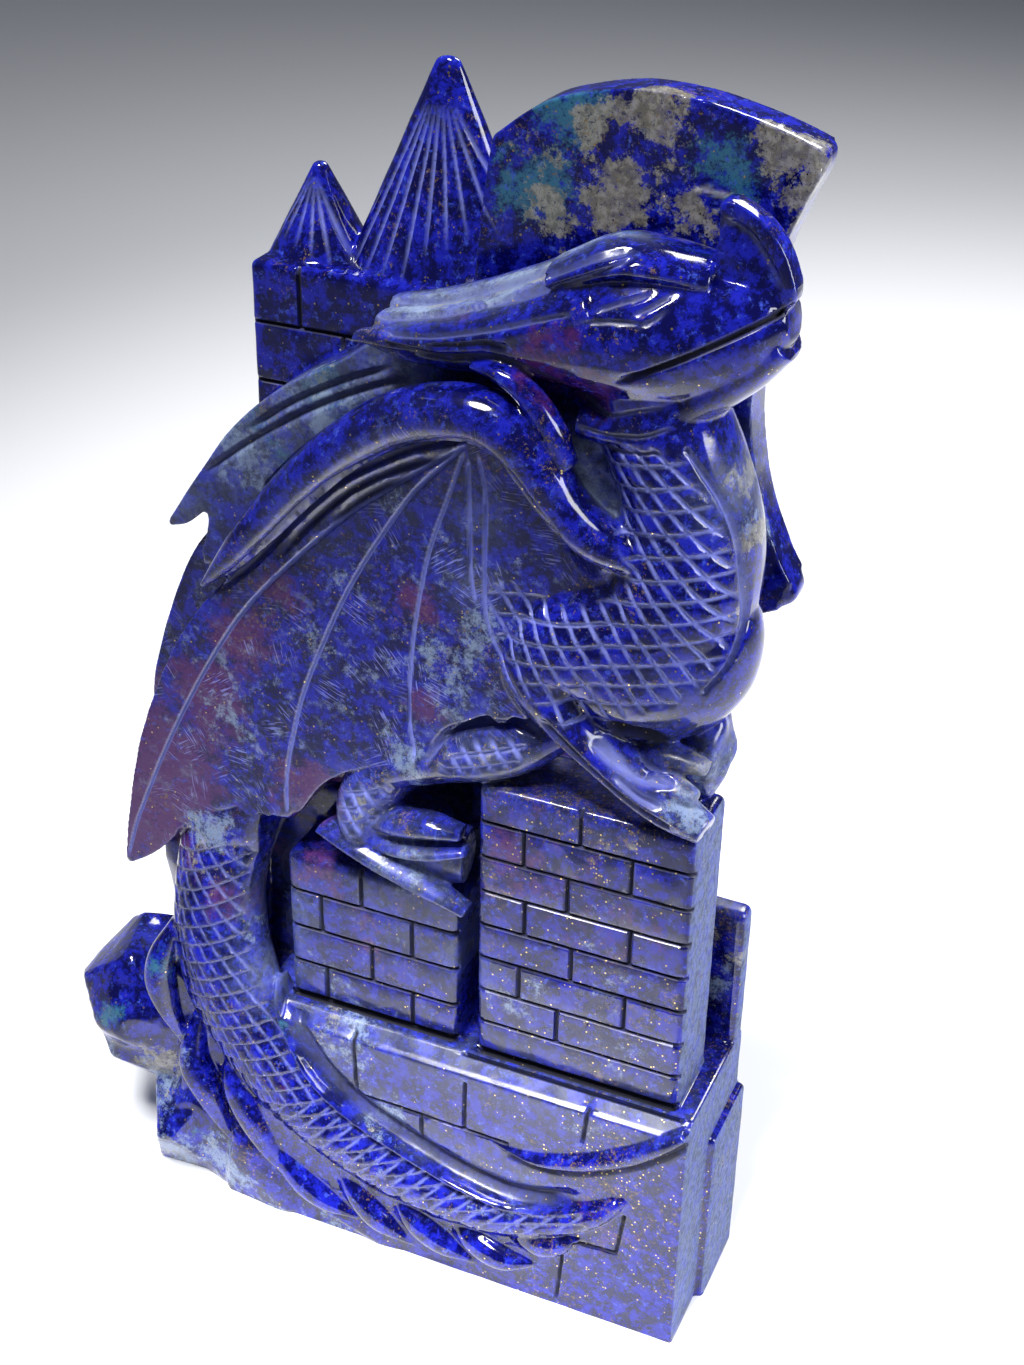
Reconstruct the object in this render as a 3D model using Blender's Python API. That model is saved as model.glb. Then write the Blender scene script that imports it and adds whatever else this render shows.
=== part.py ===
"""A dragon perched on a small castle and its rock, carved from one stone.

X runs to the statue's right as its front is seen, Y to the back and Z up. The
origin is the middle of the underside. Walls, roofs and steps have their own
sizes. The dragon is a free form, drawn on a grid of DRAGON_GRID units to the
statue's height and set by its front paw on the tall block.
"""
import math

import bmesh
import bpy
import numpy as np
from mathutils import Vector, noise

# Plinth wall that carries everything
PLINTH_LEFT = 0.038
PLINTH_RIGHT = 0.062
PLINTH_FRONT = 0.0235
PLINTH_BACK = 0.005
PLINTH_HEIGHT = 0.0485
REAR_RIGHT = 0.046
CARVING_BACK = 0.022
# Tall and short blocks of masonry standing on the plinth
TALL_WIDTH = 0.036
TALL_HEIGHT = 0.0535
TALL_DEPTH = 0.0145
TALL_SETBACK = 0.0045
TALL_MARGIN = 0.0035
SHORT_WIDTH = 0.032
SHORT_HEIGHT = 0.0285
SHORT_SETBACK = 0.0075
BLOCK_GAP = 0.0045
GAP_DEPTH = 0.011
# Steps at the right side
STEP_WIDTH = 0.014
STEP_HEIGHT = 0.037
STEP_REACH = 0.0015
STEP_FRONT = 0.0115
PIER_WIDTH = 0.012
PIER_HEIGHT = 0.0755
PIER_DEPTH = 0.0045
# Castle behind the dragon
CURTAIN_HEIGHT = 0.085
CURTAIN_FRONT = -0.007
KEEP_WIDTH = 0.053
KEEP_HEIGHT = 0.1725
KEEP_FRONT = 0.002
KEEP_SHIFT = 0.0003
# Fluted tower roofs
GREAT_ROOF_RADIUS = 0.0173
GREAT_ROOF_HEIGHT = 0.0340
GREAT_ROOF_X = 0.0030
SMALL_ROOF_RADIUS = 0.0092
SMALL_ROOF_HEIGHT = 0.0158
SMALL_ROOF_X = -0.0187
ROOF_INSET = 0.0005
ROOF_FLUTES = 18
FLUTE_DEPTH = 0.0012
ROOF_SEAT = 0.0020
# Masonry joints
COURSE_HEIGHT = 0.0067
BRICK_LENGTH = 0.0180
BIG_COURSE_HEIGHT = 0.0095
BIG_BRICK_LENGTH = 0.0220
JOINT_WIDTH = 0.0009
JOINT_DEPTH = 0.0009
EDGE_ROUND = 0.0010
# Dragon
DRAGON_HEIGHT = 0.2055
DRAGON_GRID = 205.5
# How finely the stone is cut
CUT_SIZE = 0.0008
FACET_SHARE = 0.026
STONE_COLOUR = (0.035, 0.045, 0.30, 1.0)
STONE_ROUGHNESS = 0.12

UNIT = DRAGON_HEIGHT / DRAGON_GRID
PERCH_ON_GRID = np.array((40.0, -19.0, 102.0))
EMBED = 0.004


def remove_everything():
    for item in list(bpy.data.objects):
        bpy.data.objects.remove(item, do_unlink=True)


def castle_places():
    """Left and right ends of the blocks, worked out from the plinth's right end."""
    tall_right = PLINTH_RIGHT - TALL_MARGIN
    tall_left = tall_right - TALL_WIDTH
    short_right = tall_left - BLOCK_GAP
    return {
        "tall_left": tall_left,
        "tall_right": tall_right,
        "tall_front": -PLINTH_FRONT + TALL_SETBACK,
        "tall_top": PLINTH_HEIGHT + TALL_HEIGHT,
        "short_left": short_right - SHORT_WIDTH,
        "short_right": short_right,
        "short_front": -PLINTH_FRONT + SHORT_SETBACK,
        "short_top": PLINTH_HEIGHT + SHORT_HEIGHT,
        "keep_left": KEEP_SHIFT - KEEP_WIDTH / 2,
        "keep_right": KEEP_SHIFT + KEEP_WIDTH / 2,
    }


PLACE = castle_places()
PERCH = np.array((
    (PLACE["tall_left"] + PLACE["tall_right"]) / 2,
    PLACE["tall_front"],
    PLACE["tall_top"],
))


def on_grid(points):
    """Dragon grid positions turned into metres, measured from its perch."""
    return (np.asarray(points, float) - PERCH_ON_GRID) * UNIT + PERCH


def smooth_run(rows, steps):
    """A smooth curve through rows of numbers, with steps points to each stretch."""
    rows = np.asarray(rows, float)
    ends = np.vstack([2 * rows[0] - rows[1], rows, 2 * rows[-1] - rows[-2]])
    out = []
    for i in range(1, len(ends) - 2):
        before, start, end, after = ends[i - 1:i + 3]
        for t in np.arange(steps) / steps:
            straight = 2 * start + (end - before) * t
            bend = (2 * before - 5 * start + 4 * end - after) * t ** 2
            sway = (3 * start - before - 3 * end + after) * t ** 3
            out.append(0.5 * (straight + bend + sway))
    out.append(rows[-1])
    return np.array(out)


def add_rings(mesh, rings):
    """Closes a run of equal rings into one solid, with a point at each end."""
    count = len(rings[0])
    loops = [[mesh.verts.new(point) for point in ring] for ring in rings]
    for near, far in zip(loops, loops[1:]):
        for i in range(count):
            j = (i + 1) % count
            mesh.faces.new((near[i], near[j], far[j], far[i]))
    for loop, turn in ((loops[0], True), (loops[-1], False)):
        middle = mesh.verts.new(sum((v.co for v in loop), Vector()) / count)
        for i in range(count):
            j = (i + 1) % count
            mesh.faces.new((middle, loop[j], loop[i]) if turn else (middle, loop[i], loop[j]))


def add_limb(mesh, stations, sides=14, steps=5):
    """A limb of oval section; a station is x, y, z, half width and half depth on the grid."""
    run = smooth_run(stations, steps)
    centres = on_grid(run[:, :3])
    sizes = np.maximum(run[:, 3:5], 0.3) * UNIT
    heading = np.gradient(centres, axis=0)
    rings = []
    for centre, (wide, deep), way in zip(centres, sizes, heading):
        way = way / np.linalg.norm(way)
        across = np.cross(way, (0.0, 1.0, 0.0))
        across = across / max(np.linalg.norm(across), 1e-6)
        through = np.cross(across, way)
        turns = [2 * math.pi * k / sides for k in range(sides)]
        rings.append([centre + across * wide * math.cos(a) + through * deep * math.sin(a) for a in turns])
    add_rings(mesh, rings)


def add_box(mesh, low, high, edge_round=EDGE_ROUND):
    """A block with rounded edges between two corners."""
    made = bmesh.ops.create_cube(mesh, size=1.0)["verts"]
    for vert in made:
        vert.co = Vector([low[k] if vert.co[k] < 0 else high[k] for k in range(3)])
    if edge_round > 0:
        edges = list({edge for vert in made for edge in vert.link_edges})
        bmesh.ops.bevel(mesh, geom=edges, offset=edge_round, segments=2, profile=0.5, affect="EDGES")


def add_plate(mesh, outline, front, back, edge_round, steps=4):
    """A slab whose outline is a smooth closed curve of x, z grid points."""
    points = list(outline) + [outline[0]]
    flat = smooth_run(points, steps)[:-1]
    near = on_grid([(x, front, z) for x, z in flat])
    far = on_grid([(x, back, z) for x, z in flat])
    area = sum(a[0] * b[2] - b[0] * a[2] for a, b in zip(near, np.roll(near, -1, axis=0)))
    if area < 0:
        near, far = near[::-1], far[::-1]
    face = mesh.faces.new([mesh.verts.new(p) for p in near])
    rear = mesh.faces.new([mesh.verts.new(p) for p in far[::-1]])
    front_loop = list(face.verts)
    rear_loop = list(rear.verts)[::-1]
    count = len(front_loop)
    for i in range(count):
        j = (i + 1) % count
        mesh.faces.new((front_loop[j], front_loop[i], rear_loop[i], rear_loop[j]))
    rims = list(face.edges) + list(rear.edges)
    bmesh.ops.bevel(mesh, geom=rims, offset=edge_round * UNIT, segments=2, profile=0.5, affect="EDGES")


def add_lump(mesh, centre, radii, roughness=0.0, square=2.0, seed=0.0):
    """A rounded lump of stone; square above 2 makes it blockier."""
    made = bmesh.ops.create_icosphere(mesh, subdivisions=4, radius=1.0)["verts"]
    middle = on_grid(centre)
    for vert in made:
        way = vert.co.copy()
        size = sum(abs(c) ** square for c in way) ** (-1.0 / square)
        size *= 1.0 + roughness * noise.noise(way * 1.7 + Vector((seed, seed, seed)))
        vert.co = Vector([middle[k] + way[k] * size * radii[k] * UNIT for k in range(3)])


def add_roof(mesh, x, base, radius, height):
    """A cone with flutes from its tip to the eaves, no deeper front to back than the keep."""
    y = (KEEP_FRONT + CARVING_BACK) / 2
    deep = min(radius, (CARVING_BACK - KEEP_FRONT) / 2 - ROOF_INSET) / radius
    levels = 12
    points = ROOF_FLUTES * 4
    rings = []
    for level in range(levels + 1):
        share = level / levels
        ring = []
        for k in range(points):
            turn = 2 * math.pi * k / points
            wave = abs(math.sin(turn * ROOF_FLUTES / 2))
            cut = FLUTE_DEPTH * (1 - share) ** 0.5 * (1 - wave) * 1.6
            reach = max(radius * (1 - share) - cut, 0.0006)
            ring.append((x + reach * math.cos(turn), y + reach * deep * math.sin(turn), base + height * share))
        rings.append(ring)
    add_rings(mesh, rings)


def add_castle(mesh):
    deep = -EMBED
    rear = CARVING_BACK
    low = PLINTH_HEIGHT - EMBED
    tall_back = PLACE["tall_front"] + TALL_DEPTH
    step_right = PLINTH_RIGHT + STEP_REACH
    add_box(mesh, (-PLINTH_LEFT, -PLINTH_FRONT, deep), (PLINTH_RIGHT, PLINTH_BACK, PLINTH_HEIGHT))
    add_box(mesh, (-PLINTH_LEFT, PLINTH_BACK - EMBED, deep), (REAR_RIGHT, rear, PLINTH_HEIGHT))
    add_box(
        mesh,
        (PLACE["tall_left"], PLACE["tall_front"], low),
        (PLACE["tall_right"], tall_back, PLACE["tall_top"]),
    )
    add_box(
        mesh,
        (PLACE["short_left"], PLACE["short_front"], low),
        (PLACE["short_right"], KEEP_FRONT + EMBED, PLACE["short_top"]),
    )
    add_box(
        mesh,
        (PLACE["short_right"] - EMBED, PLACE["short_front"] + GAP_DEPTH, low),
        (PLACE["tall_left"] + EMBED, KEEP_FRONT + EMBED, PLACE["tall_top"] - EMBED),
    )
    add_box(mesh, (step_right - STEP_WIDTH, -STEP_FRONT, deep), (step_right, PLINTH_BACK, STEP_HEIGHT))
    add_box(
        mesh,
        (PLINTH_RIGHT - PIER_WIDTH, PLINTH_BACK - PIER_DEPTH, deep),
        (PLINTH_RIGHT, PLINTH_BACK, PIER_HEIGHT),
    )
    add_box(mesh, (PLACE["keep_left"], CURTAIN_FRONT, low), (REAR_RIGHT, rear, CURTAIN_HEIGHT))
    add_box(mesh, (PLACE["keep_left"], KEEP_FRONT, low), (PLACE["keep_right"], rear, KEEP_HEIGHT))
    eaves = KEEP_HEIGHT - ROOF_SEAT
    add_roof(mesh, GREAT_ROOF_X, eaves, GREAT_ROOF_RADIUS, GREAT_ROOF_HEIGHT)
    add_roof(mesh, SMALL_ROOF_X, eaves, SMALL_ROOF_RADIUS, SMALL_ROOF_HEIGHT)


def add_rock(mesh):
    """The wild rock at the left that the tail runs over."""
    add_lump(mesh, (-49, -6, 26), (15, 15, 15.5), 0.22, 2.6, 1.0)
    add_lump(mesh, (-38, -12, 6), (9, 13, 15), 0.20, 3.0, 2.0)
    add_lump(mesh, (-38, 5, 20), (15, 16, 30), 0.14, 3.0, 3.0)
    add_lump(mesh, (-34.5, 2, 56), (13, 16, 28), 0.12, 3.0, 4.0)
    add_lump(mesh, (-26, -21.5, 8), (19, 4.5, 14), 0.15, 3.0, 5.0)
    add_lump(mesh, (4, -22, 3), (20, 4, 6), 0.15, 3.0, 6.0)


CRESCENT = ((24, 34), (33, 32), (41, 33.5), (49, 38.5), (56, 44), (62, 48.5), (62, 30), (62, 12), (48, 12), (34, 16))
NEAR_WING = (
    (-45.5, 66.5), (-43.5, 79), (-39, 97), (-30.5, 116), (-20, 130), (-5, 147), (6, 158), (18, 163),
    (27, 159), (33, 151), (37, 147), (32, 138), (28, 126), (33, 117), (25, 116), (17.5, 111), (12.5, 103.5),
    (4, 101), (-5, 95), (-12, 85.5), (-20, 86), (-29, 82), (-38, 72),
)
WING_BACKING = (
    (-44, 84), (-44.5, 96), (-41.5, 108), (-36, 122), (-30, 131), (-18, 143), (0, 156), (22, 158),
    (28, 130), (24, 112), (4, 98), (-10, 86), (-26, 84),
)
NECK_WEB = ((27, 172), (46, 172), (50, 150), (44, 134), (30, 134), (26, 150))
FEATHER_PLATE = (
    (-38, 130), (-32, 139), (-24, 150), (-15, 158), (-5, 164), (4, 169.5), (16, 169), (24, 160),
    (10, 145), (-18, 132), (-31, 124), (-30, 131), (-29.5, 135), (-33.5, 131.5),
)
FAR_WING = (
    (13, 196), (21, 201.8), (30, 204.6), (38, 205.4), (48, 204.2), (59.5, 201), (62, 198.8), (59.5, 192.5),
    (56, 182), (54.5, 166), (55, 157), (57, 148), (60.5, 139.5), (63.5, 133), (57, 129), (46, 122),
    (30, 116), (14, 120), (10, 160),
)
TAIL = (
    (-25, -9, 92, 9, 8), (-26, -12, 76, 10, 8), (-27, -16, 64, 9.5, 7.5), (-26.5, -19, 54, 9.5, 6.5),
    (-24.5, -20, 45, 9.2, 6.3), (-21, -20.3, 36.5, 8.8, 6.2), (-15.5, -20.5, 29, 8.4, 6.2),
    (-8, -20.6, 22.5, 8, 6.1), (2, -20.8, 17, 7.6, 6), (13, -21, 14.5, 7.2, 5.8), (25, -21.2, 14.5, 6.4, 5.4),
    (36, -21.8, 18, 5, 4.6), (45, -22.6, 23, 3.4, 3.4), (53, -23.4, 28.6, 0.8, 1.2),
)
LEAVES = (
    ((-36, 56), (-39, 44), (-34, 30)), ((-33, 43), (-33, 30), (-25, 17)), ((-26, 31), (-23, 18), (-13, 7)),
    ((-15, 17), (-9, 9), (1, 4.5)), ((-4, 14), (2, 7), (12, 3.5)), ((10, 9), (16, 5.5), (24, 4)),
    ((20, 8), (27, 5.5), (35.5, 8)), ((31, 11), (37, 12), (43.5, 17)),
)
WING_ARM = (
    (-25, -19.5, 127, 0.5, 1.2), (-18.5, -20, 134, 2.2, 3.2), (-12.5, -20, 141, 2.9, 4), (-5, -20, 149.8, 3.1, 4.4),
    (3, -20, 157.3, 3.2, 4.6), (11, -20, 162.3, 3.3, 4.8), (20, -20, 164.5, 3.7, 5), (27, -20, 163, 4, 5),
    (31.5, -19.5, 158, 3.7, 4.8), (35, -19, 152.8, 3.2, 4.5), (40, -18, 148.5, 3, 4.5), (46, -16, 146, 3, 4.5),
)
THUMB = ((20.5, -20, 172, 0.5, 0.8), (25, -21, 172.3, 1.7, 2.2), (29.5, -21, 170.3, 2.2, 2.8), (33, -20, 166, 2.2, 3))
NECK = (
    (44, -10, 172, 9, 9), (46, -10, 164, 9.5, 10), (49, -9.5, 156, 9.6, 11), (50.5, -9, 148, 10.5, 12),
    (49.5, -9, 140, 12, 13), (46, -9, 132, 14, 13),
)
SHOULDER = (
    (46, -10, 138, 6, 8), (38, -13, 131, 11, 10), (32, -14, 124, 8.5, 8.5), (36, -15, 117, 4.5, 7),
    (44, -16.5, 111, 3.4, 5.5), (52, -17.5, 106.5, 3.2, 4.6), (59, -18.5, 104, 2.2, 3),
)
TOES = (
    ((44, -12, 110.5, 2, 3), (50, -14, 112.5, 2.3, 3), (57.5, -15, 112.5, 1.2, 1.6)),
    ((46, -15, 107, 2, 3), (51, -17, 109.5, 2.3, 3), (57, -18, 108.8, 1.2, 1.6)),
)
HIND_THIGH = ((33, -12, 112, 4, 5), (25, -14.5, 108.5, 5.8, 6), (14, -14.5, 104, 5.4, 6), (5, -14, 99, 4, 6))
HIND_SHIN = ((10, -12, 101, 4, 5), (4, -14.5, 97, 5.2, 6), (0.5, -15.5, 90.5, 4.6, 6), (2, -16, 83, 3.5, 5))
HIND_TOES = (
    ((2, -15, 90, 2.5, 4), (10, -18.5, 92.3, 2.6, 4), (19.5, -19.5, 91, 1.5, 2.4)),
    ((2, -16, 87, 2.5, 4), (11, -19.5, 87.3, 2.7, 4), (20, -20.5, 85.8, 1.5, 2.4)),
    ((0, -16, 84.5, 2.5, 4), (9, -19.5, 83, 2.5, 4), (19.5, -20.5, 81, 1.4, 2.2)),
    ((-4.5, -17, 85.5, 1.2, 3), (3, -19.5, 81.8, 1.9, 3), (12, -20.5, 79, 1.7, 2.6), (20.5, -20.5, 76.8, 0.8, 1.2)),
)
HEAD = (
    (1.5, -14, 170.5, 0.8, 2), (10, -13.5, 171, 3.2, 4.5), (20, -13, 173, 5, 6.5), (29, -12, 175.5, 7.2, 9),
    (38, -11, 177, 10.2, 11), (46, -10.5, 177.6, 11, 11), (54, -10, 179, 9.1, 9), (59.5, -10, 181, 6.3, 6.8),
    (63, -10, 181.8, 3, 3.6),
)
BROW = ((31, -12, 183.5, 2.5, 6), (39, -12.5, 187.4, 2.8, 7), (46, -12, 187.6, 2.4, 6.5), (52, -11, 186.5, 2.4, 5.5))
NOSE_HORN = (
    (53, -10, 188, 3.2, 5), (57.5, -10, 189.3, 4, 4.6), (56.3, -10, 193, 2.6, 3.2), (54.2, -10, 196.3, 0.8, 1.2),
)
CRESTS = (
    ((3.5, -8, 174.2, 0.8, 2.5), (14, -8, 176, 1.9, 4), (26, -8, 180.5, 2.3, 5), (37, -9, 186.3, 2.4, 5)),
    ((3.5, -13, 173.4, 0.8, 2.5), (14, -13, 174.7, 1.9, 4), (26, -12.5, 178.5, 2.3, 5), (38, -12, 184.2, 2.6, 6)),
    ((1.2, -16, 171.2, 0.8, 1.8), (12, -16, 172.6, 2.3, 3.4), (24, -16, 175.6, 3, 4.6), (38, -15.5, 181.5, 3.4, 6)),
)
JAW = (
    (36, -11, 164.5, 3.5, 8), (43, -11, 165, 4.2, 8.5), (50, -10.5, 169, 4.2, 7.5), (57, -10, 174, 3.6, 6.5),
    (62.5, -10, 178.5, 2.4, 4.5),
)
TAIL_RIDGE = (
    (-15.5, -17, 66, 1, 3), (-14.5, -19, 56, 2, 4), (-12.5, -20, 46.5, 2.4, 4.6), (-8.5, -20.5, 38.5, 2.4, 4.8),
    (-2, -21, 31.5, 2.4, 4.8), (6, -21, 26.3, 2.2, 4.6), (16, -21.3, 22.5, 2, 4.4), (27, -21.5, 21, 1.6, 3.8),
)


def add_dragon(mesh):
    add_plate(mesh, NEAR_WING, -19.5, -3, 1.6)
    add_plate(mesh, WING_BACKING, -8, 3.5, 2.0)
    add_plate(mesh, FEATHER_PLATE, -10, 3.5, 1.4)
    add_plate(mesh, FAR_WING, 3, 10, 1.8)
    add_plate(mesh, NECK_WEB, -14.5, 5, 2.0)
    add_plate(mesh, CRESCENT, -25, -18, 1.0)
    for run in (TAIL, TAIL_RIDGE, WING_ARM, THUMB, NECK, SHOULDER, HEAD, BROW, NOSE_HORN, JAW):
        add_limb(mesh, run)
    for run in TOES + HIND_TOES + CRESTS + (HIND_THIGH, HIND_SHIN):
        add_limb(mesh, run)
    add_lump(mesh, (43.5, -9, 130.5), (19, 13, 18.5))
    add_lump(mesh, (6, -12, 86), (9, 7, 6))
    add_lump(mesh, (54.5, -7, 111), (4, 5.5, 8), 0.2, 2.4, 7.0)
    for leaf in LEAVES:
        (x0, z0), (x1, z1), (x2, z2) = leaf
        add_limb(mesh, ((x0, -21, z0, 1, 2), (x1, -23.2, z1, 2.6, 2.6), (x2, -23.6, z2, 0.5, 1.2)))


def mesh_object(name, builders):
    mesh = bmesh.new()
    for build_form in builders:
        build_form(mesh)
    bmesh.ops.recalc_face_normals(mesh, faces=mesh.faces)
    data = bpy.data.meshes.new(name)
    mesh.to_mesh(data)
    mesh.free()
    item = bpy.data.objects.new(name, data)
    bpy.context.scene.collection.objects.link(item)
    return item


# Engraved lines on the grid: x, z points, width, depth, and the nearest and farthest y they reach
WING_RIBS = (
    ((17, 157), (5, 148), (-7, 135.5), (-19, 123), (-28, 110), (-35, 97), (-40, 84), (-44.5, 69)),
    ((16, 155), (9, 145.5), (3, 136), (-3, 123), (-7.5, 110), (-10, 100), (-12, 87)),
    ((18.5, 155), (16, 147), (13.5, 138), (12, 129), (11.5, 117), (12.3, 105)),
    ((21, 155), (22, 145), (23, 133)),
)
WING_FOLDS = (
    ((17, 158.5), (8, 155.5), (-1, 148.5), (-10, 139), (-19, 130)),
    ((24, 156), (28, 149), (32, 143)),
)
FEATHER_LINES = (
    ((-25, 146), (-19, 151), (-11, 156), (-4, 160.5), (4, 165)),
    ((-29, 141), (-22, 145.5), (-15, 150), (-8, 155.5), (0, 160), (9, 164)),
)
MOUTH_LINE = ((66, 187.5), (61.5, 184.8), (56.5, 181.3), (51.5, 178), (46, 175), (42, 173))
EYE_LINES = (((38.5, 181.6), (43, 183.2), (47.5, 182.6)), ((42.5, 185.6), (46.5, 187.4), (50, 187.2)))
BELLY_LINE = ((52, 165), (54, 161), (56.5, 155), (59, 149), (61, 142), (61.6, 136), (60.5, 131), (56, 125))
THROAT_LINES = (((37, 160.5), (43, 159.5), (50, 161.5)), ((38, 157.5), (44, 156.5), (51, 158.5)))


def engravings():
    rib, fine = (1.3, 0.9), (1.1, 0.7)
    lines = [(run, *rib, -22.5, -15) for run in WING_RIBS + WING_FOLDS]
    lines += [(run, *rib, -12, -7) for run in FEATHER_LINES]
    lines += [(MOUTH_LINE, 1.2, 1.3, -30, -9), (BELLY_LINE, *rib, -30, -8)]
    lines += [(run, *fine, -30, -12) for run in EYE_LINES + THROAT_LINES]
    return lines


def distance_to_run(x, z, run):
    """Distance of each point to a line of straight stretches in the x, z plane."""
    best = np.full(len(x), 1e9)
    for (x0, z0), (x1, z1) in zip(run, run[1:]):
        dx, dz = x1 - x0, z1 - z0
        share = np.clip(((x - x0) * dx + (z - z0) * dz) / (dx * dx + dz * dz), 0, 1)
        best = np.minimum(best, np.hypot(x - x0 - share * dx, z - z0 - share * dz))
    return best


def engrave(data):
    """Pushes the fused surface in along the engraved lines, on faces that look forward."""
    count = len(data.vertices)
    places = np.empty(count * 3, np.float32)
    normals = np.empty(count * 3, np.float32)
    data.vertices.foreach_get("co", places)
    data.vertices.foreach_get("normal", normals)
    places = places.reshape(-1, 3).astype(float)
    normals = normals.reshape(-1, 3)
    grid = (places - PERCH) / UNIT + PERCH_ON_GRID
    depth = np.zeros(count)
    for run, width, deep, nearest, farthest in engravings():
        faces_front = (normals[:, 1] < -0.3) & (grid[:, 1] > nearest) & (grid[:, 1] < farthest)
        away = distance_to_run(grid[faces_front, 0], grid[faces_front, 2], run)
        depth[faces_front] = np.maximum(depth[faces_front], deep * np.exp(-(away / width) ** 2))
    places -= normals * (depth * UNIT)[:, None]
    data.vertices.foreach_set("co", places.astype(np.float32).ravel())
    data.update()


def stone_material():
    material = bpy.data.materials.new("lapis")
    material.use_nodes = True
    shader = material.node_tree.nodes["Principled BSDF"]
    shader.inputs["Base Color"].default_value = STONE_COLOUR
    shader.inputs["Roughness"].default_value = STONE_ROUGHNESS
    shader.inputs["Metallic"].default_value = 0.0
    return material


def brick_joints(low, high, bottom, top, course, length):
    """Course lines and upright joints of a wall, as x, z boxes; courses count down from the top."""
    courses, uprights = [], []
    half = JOINT_WIDTH / 2
    step = (high - low) / max(1, round((high - low) / length))
    rows = max(1, round((top - bottom) / course))
    height = (top - bottom) / rows
    for row in range(rows):
        level = top - row * height
        if row:
            courses.append((low - JOINT_WIDTH, level - half, high + JOINT_WIDTH, level + half))
        first = low + (step if row % 2 == 0 else step / 2)
        while first < high - step / 4:
            uprights.append((first - half, level - height, first + half, level + half))
            first += step
    return courses, uprights


def walls():
    """Each bricked wall: left, right, bottom, top, course, brick, and the y of its face."""
    small = (COURSE_HEIGHT, BRICK_LENGTH)
    big = (BIG_COURSE_HEIGHT, BIG_BRICK_LENGTH)
    low = PLINTH_HEIGHT
    front = KEEP_FRONT
    left, right = PLACE["keep_left"], PLACE["keep_right"]
    return [
        (PLACE["tall_left"], PLACE["tall_right"], low, PLACE["tall_top"], *small, PLACE["tall_front"], -1),
        (PLACE["short_left"], PLACE["short_right"], low, PLACE["short_top"], *small, PLACE["short_front"], -1),
        (PLACE["short_left"], PLINTH_RIGHT - STEP_WIDTH, low - BIG_COURSE_HEIGHT * 2, low, *big, -PLINTH_FRONT, -1),
        (left, right, KEEP_HEIGHT - BIG_COURSE_HEIGHT * 3, KEEP_HEIGHT, *big, front, -1),
        (left, right, CURTAIN_HEIGHT, KEEP_HEIGHT, *big, CARVING_BACK, 1),
        (left, REAR_RIGHT, PLINTH_HEIGHT, CURTAIN_HEIGHT, *big, CARVING_BACK, 1),
    ]


def cut_away(carving, name, boxes):
    """Cuts a set of boxes that don't touch each other out of the stone."""
    cutter = mesh_object(name, [lambda mesh: [add_box(mesh, low, high, 0.0) for low, high in boxes]])
    cutter.display_type = "WIRE"
    cutter.hide_render = True
    boolean = carving.modifiers.new(name, "BOOLEAN")
    boolean.operation = "DIFFERENCE"
    boolean.solver = "EXACT"
    boolean.object = cutter


def joint_boxes():
    courses, uprights = [], []
    for left, right, bottom, top, course, length, face, side in walls():
        flat, upright = brick_joints(left, right, bottom, top, course, length)
        inner, outer = sorted((face + side * JOINT_DEPTH, face - side * JOINT_DEPTH))
        for boxes, cuts in ((courses, flat), (uprights, upright)):
            boxes += [((x0, inner, z0), (x1, outer, z1)) for x0, z0, x1, z1 in cuts]
    return courses, uprights


def build():
    remove_everything()
    rough = mesh_object("rough_stone", [add_castle, add_rock, add_dragon])
    fuse = rough.modifiers.new("one stone", "REMESH")
    fuse.mode = "VOXEL"
    fuse.voxel_size = CUT_SIZE
    graph = bpy.context.evaluated_depsgraph_get()
    data = bpy.data.meshes.new_from_object(rough.evaluated_get(graph))
    bpy.data.objects.remove(rough, do_unlink=True)
    engrave(data)
    data.materials.clear()
    data.materials.append(stone_material())
    carving = bpy.data.objects.new("dragon_castle_carving", data)
    bpy.context.scene.collection.objects.link(carving)
    facets = carving.modifiers.new("facets", "DECIMATE")
    facets.ratio = FACET_SHARE
    courses, uprights = joint_boxes()
    cut_away(carving, "course_joints", courses)
    cut_away(carving, "upright_joints", uprights)
    cut_away(carving, "underside", [((-1.0, -1.0, -1.0), (1.0, 1.0, 0.0))])


build()
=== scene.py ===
"""A dragon perched on a small castle, carved from one block of lapis lazuli and polished.

Every form is given on the carver's grid, whose unit is close to a millimetre: x runs to
the right of the statue as it is looked at, y to the back and z up from the underside.
The forms are fused into one stone, which is then rounded, engraved and polished.
"""
import math

import bmesh
import bpy
import numpy as np
from mathutils import Matrix, Vector, noise


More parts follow.
